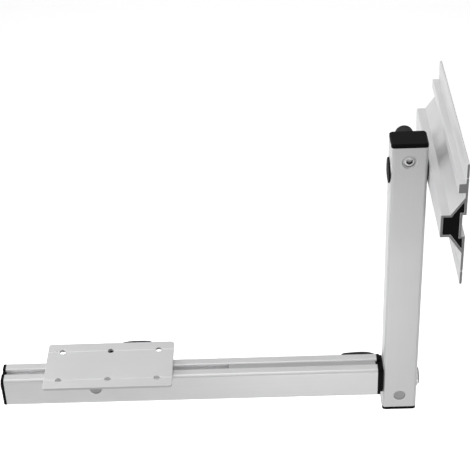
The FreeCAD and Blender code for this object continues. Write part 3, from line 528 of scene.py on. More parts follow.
@dataclass(frozen=True)
class Finish:
    """A surface: its colour, its gloss, the grain that breaks both, and its material slot."""

    name: str
    slot: str
    colour: tuple[float, float, float]
    metallic: float
    roughness: float
    grain: Grain
    bump: float = 0.12
    spread: float = 0.05
    specular: float = 0.5

    def material(self, along: Along = Along.X,
                 centre: Sequence[float] = ORIGIN) -> bpy.types.Material:
        """Makes or finds the material of this finish for one direction and centre.

        Args:
            along: the axis of the grain.
            centre: a point on the axis of a turned piece, in millimetres.

        Returns:
            The material.
        """
        key = "%s_%s_%s" % (self.name, along.name.lower(),
                            "_".join("%d" % round(value) for value in centre))
        found = bpy.data.materials.get(key)
        return found or MaterialMaker(self, along, centre, key).made()


class MaterialMaker:
    """Builds the node tree of one finish."""

    def __init__(self, finish: Finish, along: Along, centre: Sequence[float],
                 name: str) -> None:
        """Starts a tree with a shader and the piece's own coordinates.

        Args:
            finish: the finish that it shows.
            along: the axis of the grain.
            centre: a point on the axis of a turned piece, in millimetres.
            name: the material's name.
        """
        self.finish = finish
        self.along = along
        self.centre = centre
        self.material = bpy.data.materials.new(name)
        self.material.use_nodes = True
        self.tree = self.material.node_tree
        self.shader = self.tree.nodes["Principled BSDF"]
        self.coordinates = self.add("ShaderNodeTexCoord").outputs["Object"]

    def add(self, kind: str, **values: object) -> bpy.types.Node:
        """Adds a node and sets its sockets or properties by name.

        Args:
            kind: the node's type.
            values: what each socket or property gets.

        Returns:
            The node.
        """
        node = self.tree.nodes.new(kind)
        for name, value in values.items():
            label = name.replace("_", " ").title()
            if label in node.inputs:
                node.inputs[label].default_value = value
            else:
                setattr(node, name, value)
        return node

    def link(self, source: bpy.types.NodeSocket, target: bpy.types.NodeSocket) -> None:
        """Joins two sockets."""
        self.tree.links.new(source, target)

    def mapped(self, scale: Sequence[float] = (1.0, 1.0, 1.0)) -> bpy.types.NodeSocket:
        """Moves the object's coordinates to the centre and scales them.

        Args:
            scale: the factor for each axis.

        Returns:
            The socket that holds them.
        """
        shift = [-value * MM * factor for value, factor in zip(self.centre, scale)]
        node = self.add("ShaderNodeMapping", vector_type="POINT", location=shift, scale=scale)
        self.link(self.coordinates, node.inputs["Vector"])
        return node.outputs["Vector"]

    def noise(self, vector: bpy.types.NodeSocket, scale: float,
              detail: float = 2.0) -> bpy.types.NodeSocket:
        """Value of a noise texture.

        Args:
            vector: the coordinates that it is read at.
            scale: its scale.
            detail: its number of octaves.

        Returns:
            The socket that holds the value.
        """
        node = self.add("ShaderNodeTexNoise", scale=scale, detail=detail)
        self.link(vector, node.inputs["Vector"])
        return node.outputs["Fac"]

    def grain_value(self) -> bpy.types.NodeSocket:
        """Works out the height of the fine grain.

        Returns:
            The socket that holds it, from 0 to 1.
        """
        grain = self.finish.grain
        if grain is Grain.DRAWN:
            scale = [1.0, 1.0, 1.0]
            scale[self.along.value] = STRETCH
            return self.noise(self.mapped(scale), grain.value, 4.0)
        if grain is Grain.TURNED:
            node = self.add("ShaderNodeTexWave", wave_type="RINGS",
                            rings_direction=self.along.name, scale=grain.value,
                            distortion=0.6, detail=2.0)
            self.link(self.mapped(), node.inputs["Vector"])
            return node.outputs["Fac"]
        return self.noise(self.mapped(), grain.value)

    def ramp(self, value: bpy.types.NodeSocket, low: float,
             high: float) -> bpy.types.NodeSocket:
        """Carries the middle half of a value's range over to another range.

        Args:
            value: the socket that holds the value.
            low: the least result.
            high: the greatest result.

        Returns:
            The socket that holds the result.
        """
        node = self.add("ShaderNodeMapRange", from_min=0.25, from_max=0.75, to_min=low,
                        to_max=high)
        self.link(value, node.inputs["Value"])
        return node.outputs["Result"]

    def tint(self, value: bpy.types.NodeSocket) -> bpy.types.NodeSocket:
        """Darkens and lightens the finish's colour by a value.

        Args:
            value: the socket that holds the value.

        Returns:
            The socket that holds the colour.
        """
        node = self.add("ShaderNodeMix", data_type="RGBA")
        sockets = {socket.identifier: socket for socket in (*node.inputs, *node.outputs)}
        colour, spread = np.array(self.finish.colour), self.finish.spread
        sockets["A_Color"].default_value = (*colour * (1 - spread), 1)
        sockets["B_Color"].default_value = (*np.minimum(colour * (1 + spread), 1), 1)
        self.link(value, sockets["Factor_Float"])
        return sockets["Result_Color"]

    def made(self) -> bpy.types.Material:
        """Joins grain, slow variation, roughness and bump to the shader.

        Returns:
            The material.
        """
        finish, inputs = self.finish, self.shader.inputs
        grain = self.grain_value()
        cloud = self.noise(self.mapped(), CLOUD_SCALE)
        mixed = self.add("ShaderNodeMath", operation="ADD")
        self.link(self.ramp(grain, 0.0, 0.5), mixed.inputs[0])
        self.link(self.ramp(cloud, 0.0, 0.5), mixed.inputs[1])
        total = mixed.outputs["Value"]
        low, high = finish.roughness * SMOOTHER, min(finish.roughness * ROUGHER, 1.0)
        self.link(self.tint(total), inputs["Base Color"])
        self.link(self.ramp(total, low, high), inputs["Roughness"])
        inputs["Metallic"].default_value = finish.metallic
        inputs["Specular IOR Level"].default_value = finish.specular
        bump = self.add("ShaderNodeBump", strength=finish.bump, distance=BUMP_DEPTH * MM)
        self.link(grain, bump.inputs["Height"])
        self.link(bump.outputs["Normal"], inputs["Normal"])
        return self.material


DRAWN_ALUMINIUM = Finish("drawn_aluminium", "extruded_aluminium", (0.585, 0.585, 0.59), 0.4,
                         0.4, Grain.DRAWN)
# Darker copy of the drawn aluminium, for the post: painted shade on the post's faces.
POST_PAINTED_SHADE_ALUMINIUM = Finish("post_aluminium", "extruded_aluminium", (0.53, 0.53, 0.535), 0.4, 0.4,
                        Grain.DRAWN)
# Lighter copy of the drawn aluminium, for the rail: painted light where the post shades the
# rail.
RAIL_PAINTED_LIGHT_ALUMINIUM = Finish("rail_aluminium", "extruded_aluminium", (0.65, 0.65, 0.655), 0.4, 0.42,
                        Grain.DRAWN)
# Near-white copy of the drawn aluminium, for the slot's walls: painted light in the slot's
# shade.
SLOT_PAINTED_LIGHT_ALUMINIUM = Finish("slot_aluminium", "extruded_aluminium", (0.92, 0.92, 0.925), 0.2, 0.55,
                        Grain.DRAWN, 0.1)
# Dark copy of the aluminium, for the rail's sawn ends: painted shade on the end faces.
END_PAINTED_SHADE_ALUMINIUM = Finish("sawn_aluminium", "extruded_aluminium", (0.2, 0.2, 0.202), 0.4, 0.55,
                        Grain.SANDED, 0.25)
PLATE_ALUMINIUM = Finish("plate_aluminium", "plate_aluminium", (0.585, 0.585, 0.59), 0.35, 0.5,
                         Grain.SANDED)
# Darker copy of the plate aluminium, for the plate's upright faces, its sides and hole walls:
# painted shade.
SIDE_PAINTED_SHADE_ALUMINIUM = Finish("edge_aluminium", "plate_aluminium", (0.42, 0.42, 0.424), 0.4, 0.5,
                        Grain.SANDED, 0.2)
BLOCK_ALUMINIUM = Finish("milled_aluminium", "block_aluminium", (0.55, 0.55, 0.56), 0.8,
                         0.38, Grain.SANDED, 0.1)
BLACK_PLASTIC = Finish("black_plastic", "black_plastic", (0.005, 0.005, 0.0052), 0.0, 0.5,
                       Grain.MOULDED, 0.3, 0.2, 0.035)
GRIP_PLASTIC = Finish("grip_plastic", "black_plastic", (0.006, 0.006, 0.0062), 0.0, 0.45,
                      Grain.MOULDED, 0.3, 0.2, 0.18)
GREY_PLASTIC = Finish("grey_plastic", "grey_plastic", (0.44, 0.44, 0.445), 0.0, 0.55,
                      Grain.MOULDED, 0.25, 0.06, 0.3)
BRIGHT_STEEL = Finish("bright_steel", "bright_steel", (0.6, 0.6, 0.6), 1.0, 0.2, Grain.TURNED)
# Darker than the bright steel, for the sleeve nuts' heads: a painted dark reflection.
NUT_STEEL = Finish("nut_steel", "bright_steel", (0.42, 0.42, 0.42), 1.0, 0.34, Grain.TURNED)
DULL_STEEL = Finish("dull_steel", "dark_steel", (0.2, 0.2, 0.202), 0.9, 0.4, Grain.TURNED, 0.15)
DARK_STEEL = Finish("dark_steel", "dark_steel", (0.04, 0.04, 0.041), 0.8, 0.36, Grain.TURNED,
                    0.15)


# Putting pieces in place

SHAFT_HOLE = 10.1     # radii of the holes in what sits on a shaft, a bolt or a lever's screw
BOLT_HOLE = 4.2
SCREW_HOLE = 4.1


@dataclass
class Assembly:
    """Shared ways of finishing the pieces of one sub-assembly."""

    body: str

    def settle(self, piece: bpy.types.Object, finish: Finish, node: str,
               along: Along = Along.X,
               centre: Sequence[float] = ORIGIN) -> bpy.types.Object:
        """Dresses a piece and hangs it on its body.

        Args:
            piece: the finished mesh object.
            finish: its surface.
            node: the CAD node that it stands for.
            along: the axis of its grain.
            centre: a point on the axis of a turned piece.

        Returns:
            The piece.
        """
        piece.data.materials.clear()
        piece.data.materials.append(finish.material(along, centre))
        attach(piece, self.body)
        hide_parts(node)
        LOG.info("%s rides on %s", piece.name, self.body)
        return piece

    def put(self, name: str, shell: Shell, finish: Finish, node: str, facing: Facing,
            origin: Sequence[float], along: Along = Along.X,
            centre: Sequence[float] = ORIGIN) -> bpy.types.Object:
        """Makes a piece of a shell, smooths it and settles it.

        Args:
            name: the piece's name.
            shell: its surface, as (u, v, w) points.
            finish: how that surface looks.
            node: the CAD node that it stands for.
            facing: where its w axis points.
            origin: where its local origin goes.
            along: the axis of its grain.
            centre: a point on the axis of a turned piece.

        Returns:
            The piece.
        """
        piece = make_object(name, shell.placed(facing, origin))
        smooth_by_angle(piece)
        return self.settle(piece, finish, node, along, centre)

    def face_values(self, piece: bpy.types.Object, name: str) -> Array:
        """Reads a value of a piece's faces.

        Args:
            piece: the piece.
            name: normal or center.

        Returns:
            The values, one face a row.
        """
        values = np.empty(3 * len(piece.data.polygons))
        piece.data.polygons.foreach_get(name, values)
        return values.reshape(-1, 3)

    def dress_faces(self, piece: bpy.types.Object, finish: Finish, along: Along,
                    chosen: Array) -> None:
        """Gives chosen faces a finish of their own.

        Args:
            piece: a piece that is settled already.
            finish: the surface of those faces.
            along: the axis of their grain.
            chosen: true for each face that gets it.
        """
        mesh = piece.data
        mesh.materials.append(finish.material(along))
        mesh.polygons.foreach_set("material_index", chosen.astype(np.int32))

    def dress_node(self, node: str, finish: Finish, along: Along = Along.X,
                   centre: Sequence[float] = ORIGIN) -> None:
        """Gives a CAD node that keeps its shape its material.

        Args:
            node: the CAD node.
            finish: its surface.
            along: the axis of its grain.
            centre: a point on the axis of a turned piece.
        """
        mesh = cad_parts[node].data
        mesh.materials.clear()
        mesh.materials.append(finish.material(along, centre))
        LOG.info("%s keeps its shape", node)

    def washer(self, node: str, finish: Finish, inner: float,
               facing: Facing = Facing.RIGHT) -> None:
        """Makes a plain washer with rounded edges.

        Args:
            node: the CAD node that it stands for.
            finish: its surface.
            inner: radius of its hole.
            facing: which way its axis points.
        """
        span, axis = Span.of(node), facing.axis
        origin = span.middle.copy()
        origin[axis] = span.low[axis]
        outer, thickness = span.size[(axis + 1) % 3] / 2, span.size[axis]
        section = rounded_loop(rectangle(outer - inner, thickness), 0.3, 5)
        shell = turned(section + [(inner + outer) / 2, thickness / 2], ring=True)
        self.put(node + "_ring", shell, finish, node, facing, origin, Along(axis), origin)

    def nut(self, node: str) -> None:
        """Makes a sleeve nut: a head with a deep socket whose faces are painted dark as painted
        shade, and a barrel behind it.

        Args:
            node: the CAD node that it stands for.
        """
        span = Span.of(node)
        head, across, depth, barrel = 3.2, 7.5, 4.2, 4.9
        mouth, lip, floor = 4.4, 0.3, 1.2    # bounds of the socket's faces that get painted shade
        shell = socket_head(span.size[0] / 2, head, across, depth, barrel, span.size[1] - head)
        origin = (span.middle[0], span.low[1] + head, span.middle[2])
        # the head gets the darker steel: painted dark reflection
        piece = self.put(node + "_turning", shell, NUT_STEEL, node, Facing.FRONT, origin,
                         Along.Y, origin)
        x, y, z = (self.face_values(piece, "center") / MM - origin).T
        inside = (np.hypot(x, z) < mouth) & (y > lip - head) & (y < floor)
        # the socket's faces get the dark steel: painted shade in the recess
        self.dress_faces(piece, DARK_STEEL, Along.Y, inside)

    def hole_plug(self, node: str) -> None:
        """Makes the flat plug that closes an access hole.

        Args:
            node: the CAD node that it stands for.
        """
        span = Span.of(node)
        radius, thickness, inner, outer = span.size[0] / 2, span.size[1], 0.2, 0.35
        profile = [(0, 0), (radius - inner, 0), (radius, inner), (radius, thickness - outer),
                   (radius - outer, thickness), (0, thickness)]
        self.put(node + "_disc", turned(profile), GREY_PLASTIC, node, Facing.FRONT,
                 (span.middle[0], span.high[1], span.middle[2]))

    def retaining_bolt(self, prefix: str, facing: Facing, finish: Finish) -> None:
        """Makes a shaft's retaining washer and socket-headed bolt.

        Args:
            prefix: what the names of the two nodes start with.
            facing: where the bolt's head points.
            finish: the bolt's surface.
        """
        node, ring, axis = prefix + "_retaining_bolt", prefix + "_retaining_washer", facing.axis
        span, seat = Span.of(node), Span.of(ring).middle.copy()
        head, across, depth, stem, reach = 2.8, 6.0, 2.0, 4.0, 14.0
        ahead = facing is Facing.RIGHT
        seat[axis] = span.high[axis] - head if ahead else span.low[axis] + head
        shell = socket_head(span.size[1] / 2, head, across, depth, stem, reach)
        self.put(node + "_turning", shell, finish, node, facing, seat, Along(axis), seat)
        self.washer(ring, BRIGHT_STEEL, BOLT_HOLE, Facing.RIGHT if ahead else Facing.UP)


def bored_end(radius: float, length: float, bore: float, depth: float,
              bevel: float = 0.8) -> list[tuple[float, float]]:
    """End of a shaft's profile: a bevelled rim and a blind bore with a blunt cone.

    Args:
        radius: radius of the shaft.
        length: station of its end.
        bore: radius of the bore.
        depth: depth of the bore.
        bevel: width of the bevel.

    Returns:
        The (radius, height) points from the bevel to the bore's bottom.
    """
    return [(radius, length - bevel), (radius - bevel, length), (bore, length),
            (bore, length - depth), (0, length - depth - 0.5)]


def socket_head(radius: float, height: float, across: float, depth: float, stem: float,
                reach: float, edge: float = 0.5, dome: float = 0.6) -> Shell:
    """Screw head with a hexagon socket and a stem, the head's rear face on w = 0.

    Rings run from the stem's end over the head's rounded rim to the socket's mouth. There
    the ring turns from a circle into a hexagon, goes down the socket, and closes in a cone.

    Args:
        radius: radius of the head.
        height: height at the rim of the socket.
        across: width of the socket over its flats.
        depth: depth of the socket.
        stem: radius of the stem.
        reach: length of the stem.
        edge: rounding of the rim.
        dome: how far the top rises from the rim to the socket.

    Returns:
        The shell, as (u, v, w) points.
    """
    segments, rim = 96, height - dome
    mouth = across * 0.62    # a little outside the hexagon's corners
    turn = np.linspace(0, math.pi / 2, 6)
    share = np.linspace(0, 1, 7)[1:]
    outer = np.vstack([
        [(0.0, -reach), (stem - 0.5, -reach), (stem, 0.5 - reach), (stem, 0.0),
         (radius - 0.15, 0.0), (radius, 0.15)],
        np.column_stack([radius - edge + edge * np.cos(turn), rim - edge + edge * np.sin(turn)]),
        np.column_stack([radius - edge + (mouth - radius + edge) * share,
                         rim + dome * (1 - (1 - share) ** 2)])])
    inner = np.array([
        (across + 0.3, height - 0.02), (across, height - 0.25), (across, height - depth),
        (across * 0.9, height - depth - 0.1), (0.2, height - depth - 0.5)])
    rings = np.empty((len(outer) + len(inner), segments, 3))
    rings[:, :, :2] = np.vstack([outer[:, 0, None, None] * circle(1.0, segments),
                                 inner[:, 0, None, None] * hexagon(1.0, segments)])
    rings[:, :, 2] = np.concatenate([outer, inner])[:, 1, None]
    return skin(rings, False, True)


# Clamping lever

# Stations of a grip: how far out along it, how far behind the tube, its width and depth
GRIP_STATIONS = np.array([
    (3.0, 25.0, 13.0, 10.0), (14.0, 33.0, 13.5, 9.4), (24.0, 41.5, 16.0, 9.4),
    (31.0, 45.4, 18.2, 10.2), (37.0, 46.6, 18.9, 10.9), (43.0, 47.0, 18.9, 11.4),
    (49.0, 47.0, 18.8, 11.6), (55.0, 46.9, 18.6, 11.5), (61.0, 46.7, 18.4, 11.1),
    (67.0, 46.4, 17.9, 10.6), (72.0, 46.0, 17.2, 10.2), (76.0, 45.8, 16.6, 10.0)])


@dataclass
class Lever(Assembly):
    """One clamping lever: a conical hub on its screw and a grip that rises away from it."""

    prefix: str
    tube: str
    heading: tuple[float, float, float]
    foot: float = 9.0
    foot_height: float = 2.2
    waist: float = 8.6
    waist_level: float = 4.0
    top: float = 11.5
    height: float = 38.0
    shoulder: float = 34.0
    crown: float = 2.0
    tail: float = 0.4
    squareness: float = 2.6
    voxel: float = 0.55

    def axes(self) -> Array:
        """Works out the lever's local axes.

        Returns:
            As rows: along the grip, across it, and out along the hub.
        """
        along = np.array(self.heading, float)
        out = np.array([0.0, 1.0, 0.0])
        return np.array([along, np.cross(out, along), out])

    def origin(self) -> Array:
        """Finds where the hub's axis leaves the tube.

        Returns:
            The point on the tube's back face.
        """
        place = Span.of(self.prefix + "_lever_washer").middle.copy()
        place[1] = Span.of(self.tube).high[1]
        return place

    def hub(self) -> Shell:
        """Turned hub: a foot, a waist that widens to the shoulder, and a domed end.

        The flank's radius grows with the power 1.4 of the share of its height. Over the
        dome, the radius falls with the power 0.55 of the cosine and the height climbs with
        the sine.

        Returns:
            The shell, about the hub's own axis.
        """
        base = Span.of(self.prefix + "_lever_washer").high[1] - self.origin()[1]
        share = np.linspace(0, 1, 10)
        swell = self.waist + (self.top - self.waist) * share ** 1.4
        start = base + self.waist_level
        levels = start + (self.shoulder - start) * share
        turn = np.linspace(0, math.pi / 2, 9)[1:]
        rise = self.height + self.crown - self.shoulder
        dome = np.column_stack([self.top * np.cos(turn) ** 0.55,
                                self.shoulder + rise * np.sin(turn)])
        dome[-1, 0] = 0.0
        foot = [(0, base), (self.foot - 0.4, base), (self.foot, base + 0.4),
                (self.foot, base + self.foot_height)]
        return turned(np.vstack([foot, np.column_stack([swell, levels]), dome]), segments=72)

    def grip(self) -> Shell:
        """Grip: a superellipse carried along a smooth line, with a round end.

        The line, the width and the depth are read off their stations with smooth steps. In
        the last stretch the section shrinks as the square root of one minus the square of
        the share, which makes the end a half ellipse.

        Returns:
            The shell, in the lever's local axes.
        """
        reach, *columns = GRIP_STATIONS.T
        station = np.linspace(reach[0], reach[-1], 60)
        kernel = np.hanning(11) / np.hanning(11).sum()
        rise, width, depth = (
            np.convolve(np.pad(np.interp(station, reach, column), 5, mode="edge"), kernel,
                        mode="valid") for column in columns)
        tail = columns[1][-1] * self.tail
        close = np.sqrt(1 - np.clip((station - reach[-1]) / tail + 1, 0, 0.995) ** 2)
        turn = np.linspace(0, 2 * math.pi, 48, endpoint=False)
        across, out = (np.sign(wave) * np.abs(wave) ** (2 / self.squareness)
                       for wave in (np.cos(turn), np.sin(turn)))
        rings = np.empty((len(station), len(turn), 3))
        rings[:, :, 0] = station[:, None]
        rings[:, :, 1] = (width * close / 2)[:, None] * across
        rings[:, :, 2] = rise[:, None] + (depth * close / 2)[:, None] * out
        return skin(rings)

    def handle(self) -> bpy.types.Object:
        """Melts hub and grip into one moulding with soft fillets between them.

        Returns:
            The moulding.
        """
        both = Shell.joined([self.hub(), self.grip()])
        points = both.points @ self.axes() + self.origin()
        made = make_object(self.prefix + "_lever_grip", Shell(points, both.faces))
        melt = made.modifiers.new("melt", "REMESH")
        melt.mode = "VOXEL"
        melt.voxel_size = self.voxel * MM
        soften = made.modifiers.new("soften", "SMOOTH")
        soften.factor = 0.5
        soften.iterations = 8
        bake_modifiers(made)
        made.data.shade_smooth()
        return made

    def build(self) -> None:
        """Makes the moulding and the washer, and dresses the screw."""
        self.settle(self.handle(), GRIP_PLASTIC, self.prefix + "_lever_handle", Along.Y)
        self.washer(self.prefix + "_lever_washer", BRIGHT_STEEL, SCREW_HOLE, Facing.BACK)
        self.dress_node(self.prefix + "_lever_screw", BRIGHT_STEEL, Along.Y, self.origin())


# Rail

@dataclass
class Rail(Assembly):
    """The wall rail with its inserts, its bolt and the upper pivot."""

    crown: float = 15.2
    crown_depth: float = 10.8
    flange: float = -3.0
    shoulder: float = 38.3
    tip: float = 82.8
    rib: tuple[float, float] = (44.3, 56.8)
    rib_face: float = -10.9
    groove: float = 64.0
    groove_reach: float = 1.2
    groove_depth: float = 0.9
    wall: float = 3.0
    recess: float = 14.6
    recess_depth: float = 4.4

    @property
    def front(self) -> float:
        """Station of the crown's face."""
        return float(Span.of("wall_rail").low[0])

    @property
    def foot(self) -> float:
        """Station of the foot of the crown's flanks."""
        return self.front + self.crown_depth

    @property
    def centre(self) -> tuple[float, float, float]:
        """The point of the upper pivot's axis on the wall plane."""
        return 0.0, 0.0, float(Span.of("rail_plug_front").middle[2])

    def outline(self) -> Array:
        """Outer section: straight faces with softened corners.

        Returns:
            Its (x, z) points about the upper pivot.
        """
        face, line, reach, (near, far) = self.flange, self.groove, self.groove_reach, self.rib
        rib = [(face, near, 0.6), (self.rib_face, near, 0.7), (self.rib_face, far, 0.7),
               (face, far, 0.6)]
        body = [(self.front, self.crown, 1.2), (self.foot, self.crown, 0.8),
                (face, self.shoulder, 1.6)]
        tip = [
            (face, line - reach, 0.1), (face + self.groove_depth, line, 0.1),
            (face, line + reach, 0.1), (face, self.tip, 1.2), (0, self.tip, 1.2),
            (0, line + reach, 0.1), (-self.groove_depth, line, 0.1), (0, line - reach, 0.1),
            (0, self.recess, 0.4), (-self.recess_depth, self.recess, 0.4)]
        below = np.array(body + tip)[::-1] * [1, -1, 1]
        return softened(np.vstack([body + rib + tip, below]), 5)

    def hollow(self, inset: float) -> Array:
        """Inner section: the outer faces drawn in by the wall and a clearance.

        Args:
            inset: the clearance.

        Returns:
            Its (x, z) points about the upper pivot.
        """
        wall = self.wall + inset
        lean = (self.flange - self.foot) / (self.shoulder - self.crown)
        shift = wall * math.hypot(lean, 1)
        side, step = self.crown - wall, self.recess + wall
        top = self.crown + (-wall - self.foot - shift) / lean
        above = np.array([
            (self.front + wall, side), (self.foot + shift - lean * wall, side), (-wall, top),
            (-wall, step), (-self.recess_depth - wall, step)])
        return rounded_loop(np.vstack([above, above[::-1] * [1, -1]]), 0.5, 4)

    def profile(self) -> None:
        """The rail: its section carried along y, with sawn ends in a dark copy of the aluminium,
        which is painted shade.
        """
        span = Span.of("wall_rail")
        shell = extruded([self.outline(), self.hollow(0.0)],
                         broken(-span.high[1], -span.low[1], 0.2))
        # the rail gets the lighter copy of the aluminium, which is painted light
        rail = self.put("wall_rail_extrusion", shell, RAIL_PAINTED_LIGHT_ALUMINIUM, "wall_rail", Facing.FRONT,
                        self.centre, Along.Y)
        # the end faces get the dark copy of the aluminium: painted shade
        ends = np.abs(self.face_values(rail, "normal")[:, Along.Y.value]) >= 0.95
        self.dress_faces(rail, END_PAINTED_SHADE_ALUMINIUM, Along.Y, ends)

    def insert(self, node: str) -> None:
        """The moulded insert that fills one end of the hollow.

        Args:
            node: the CAD node that it stands for.
        """
        span = Span.of(node)
        shell = extruded([self.hollow(0.1)], broken(-span.high[1], -span.low[1], 0.35))
        self.put(node + "_moulding", shell, BLACK_PLASTIC, node, Facing.FRONT, self.centre,
                 Along.Y)

    def bolt(self) -> None:
        """Low square bolt head in the rear recess, with its shank."""
        span = Span.of("rail_bolt")
        side, corner, crown, shank, seat = span.size[1], 3.0, 0.3, 5.0, -self.recess_depth
        edge, end, bevel = span.high[0] - seat - 1 - crown, span.low[0] - seat, 0.6
        turn = np.linspace(0, math.pi / 2, 5)
        layers = np.vstack([[(0.3, 0), (0, 0.3)],
                            np.column_stack([1 - np.cos(turn), edge + np.sin(turn)])])
        stem = turned([(0, 0.5), (shank, 0.5), (shank, end + bevel), (shank - bevel, end),
                       (0, end)], segments=48)
        shell = Shell.joined([pillow(side, side, corner, layers, crown), stem])
        self.put("rail_bolt_forging", shell, BRIGHT_STEEL, "rail_bolt", Facing.RIGHT,
                 (seat, 0, self.centre[2]), Along.X, self.centre)

    def shaft(self) -> None:
        """Upper pivot shaft with broken edges and a blind bore for the disc's stem."""
        span = Span.of("upper_pivot_shaft")
        radius, length, bevel, bore, depth = span.size[1] / 2, span.size[0], 0.8, 5.2, 12.5
        profile = [(0, 0), (radius - bevel, 0), (radius, bevel),
                   *bored_end(radius, length, bore, depth, bevel)]
        self.put("upper_pivot_shaft_bar", turned(profile), BRIGHT_STEEL, "upper_pivot_shaft",
                 Facing.LEFT, (span.high[0], 0, self.centre[2]), Along.X, self.centre)

    def cover(self) -> None:
        """Domed black disc over the shaft's left end.

        Its top is a flat dome: the height falls with the square of the radius.
        """
        span = Span.of("upper_pivot_cap")
        radius, height, rim, stem, reach = span.size[1] / 2, 3.0, 1.7, 5.0, 12.0
        share = np.linspace(1, 0, 14)[1:]
        dome = np.column_stack([(radius - 0.5) * share, rim + (height - rim) * (1 - share ** 2)])
        profile = np.vstack([
            [(0, -reach), (stem - 0.4, -reach), (stem, 0.4 - reach), (stem, 0),
             (radius - 0.2, 0), (radius, 0.2), (radius, rim - 0.6), (radius - 0.15, rim - 0.2),
             (radius - 0.5, rim)], dome])
        self.put("upper_pivot_cap_disc", turned(profile), BLACK_PLASTIC, "upper_pivot_cap",
                 Facing.LEFT, (span.low[0] + height, 0, self.centre[2]))

    def build(self) -> None:
        """Makes and dresses the rail's pieces."""
        self.profile()
        self.insert("rail_plug_front")
        self.insert("rail_plug_rear")
        self.bolt()
        self.shaft()
        self.cover()
        self.washer("upper_thrust_washer", BLACK_PLASTIC, SHAFT_HOLE)
        self.dress_node("rail_spacer_sleeve", BRIGHT_STEEL, Along.X, self.centre)


# Post

@dataclass
class Post(Assembly):
    """The upright tube with its end caps, split blocks, sleeve nuts and hole plug."""

    wall: float = 2.0
    corner: float = 4.0
    access: float = 7.75
    open_rim: float = 1.7
    plugged_rim: float = 0.25
    cap_lip: float = 5.0
    cap_edge: float = 1.6
    foot_edge: float = 0.6
    skirt: float = 2.2
    skirt_reach: float = 8.0
    lever_hole: float = 4.4
    shaft_hole: float = 10.4

    def tube(self) -> None:
        """The tube: a rounded section carried along z, then drilled."""
        span = Span.of("post_tube")
        (left, front, bottom), (right, back, top) = span.low, span.high
        outer = rounded_loop(rectangle(*span.size[:2]), self.corner, 10)
        inner = rounded_loop(rectangle(*(span.size[:2] - 2 * self.wall)),
                             self.corner - self.wall, 6)
        shell = extruded([outer, inner], broken(bottom, top, 0.2))
        made = make_object("post_extrusion", shell.placed(Facing.UP, (span.middle[0], 0, 0)))
        cutters = []
        for node, rim in (("upper_clamp_nut", self.open_rim),
                          ("lower_clamp_nut", self.plugged_rim)):
            x, _, z = Span.of(node).middle
            cutters += [drill(self.access, rim).placed(Facing.FRONT, (x, front, z)),
                        drill(self.lever_hole, 0.2).placed(Facing.BACK, (x, back, z))]
        for node in ("upper_pivot_shaft", "lower_pivot_shaft"):
            z = Span.of(node).middle[2]
            cutters += [drill(self.shaft_hole, 0.2).placed(facing, (x, 0, z))
                        for facing, x in ((Facing.LEFT, left), (Facing.RIGHT, right))]
        carve(made, cutters)
        smooth_by_angle(made)
        # the post gets the darker copy of the aluminium, which is painted shade
        self.settle(made, POST_PAINTED_SHADE_ALUMINIUM, "post_tube", Along.Z)

    def cap(self, node: str, facing: Facing) -> None:
        """End cap: a lip with bevelled edges and a skirt inside the tube.

        Args:
            node: the CAD node that it stands for.
            facing: the side that it looks to.
        """
        span, above = Span.of(node), facing is Facing.UP
        edge = self.cap_edge if above else self.foot_edge
        layers = bevelled(0, self.cap_lip - 0.1, edge)
        inside = span.size[:2] - 2 * self.wall - 0.2
        skirt = extruded([rounded_loop(rectangle(*inside), self.corner - self.wall, 5),
                          rounded_loop(rectangle(*(inside - 2 * self.skirt)), 0.8, 5)],
                         broken(-self.skirt_reach, 0.1, 0.05))
        lip = pillow(*span.size[:2], self.corner, layers, 0.1, 10)
        seat = span.high[2] - self.cap_lip if above else span.low[2] + self.cap_lip
        self.put(node + "_moulding", Shell.joined([lip, skirt]), BLACK_PLASTIC, node, facing,
                 (span.middle[0], 0, seat))

    def build(self) -> None:
        """Makes and dresses the post's pieces."""
        self.tube()
        self.cap("post_top_cap", Facing.UP)
        self.cap("post_bottom_cap", Facing.DOWN)
        for place in ("upper", "lower"):
            self.nut(place + "_clamp_nut")
            self.dress_node(place + "_clamp_block", BLOCK_ALUMINIUM)
        self.hole_plug("lower_hole_plug")


# Arm

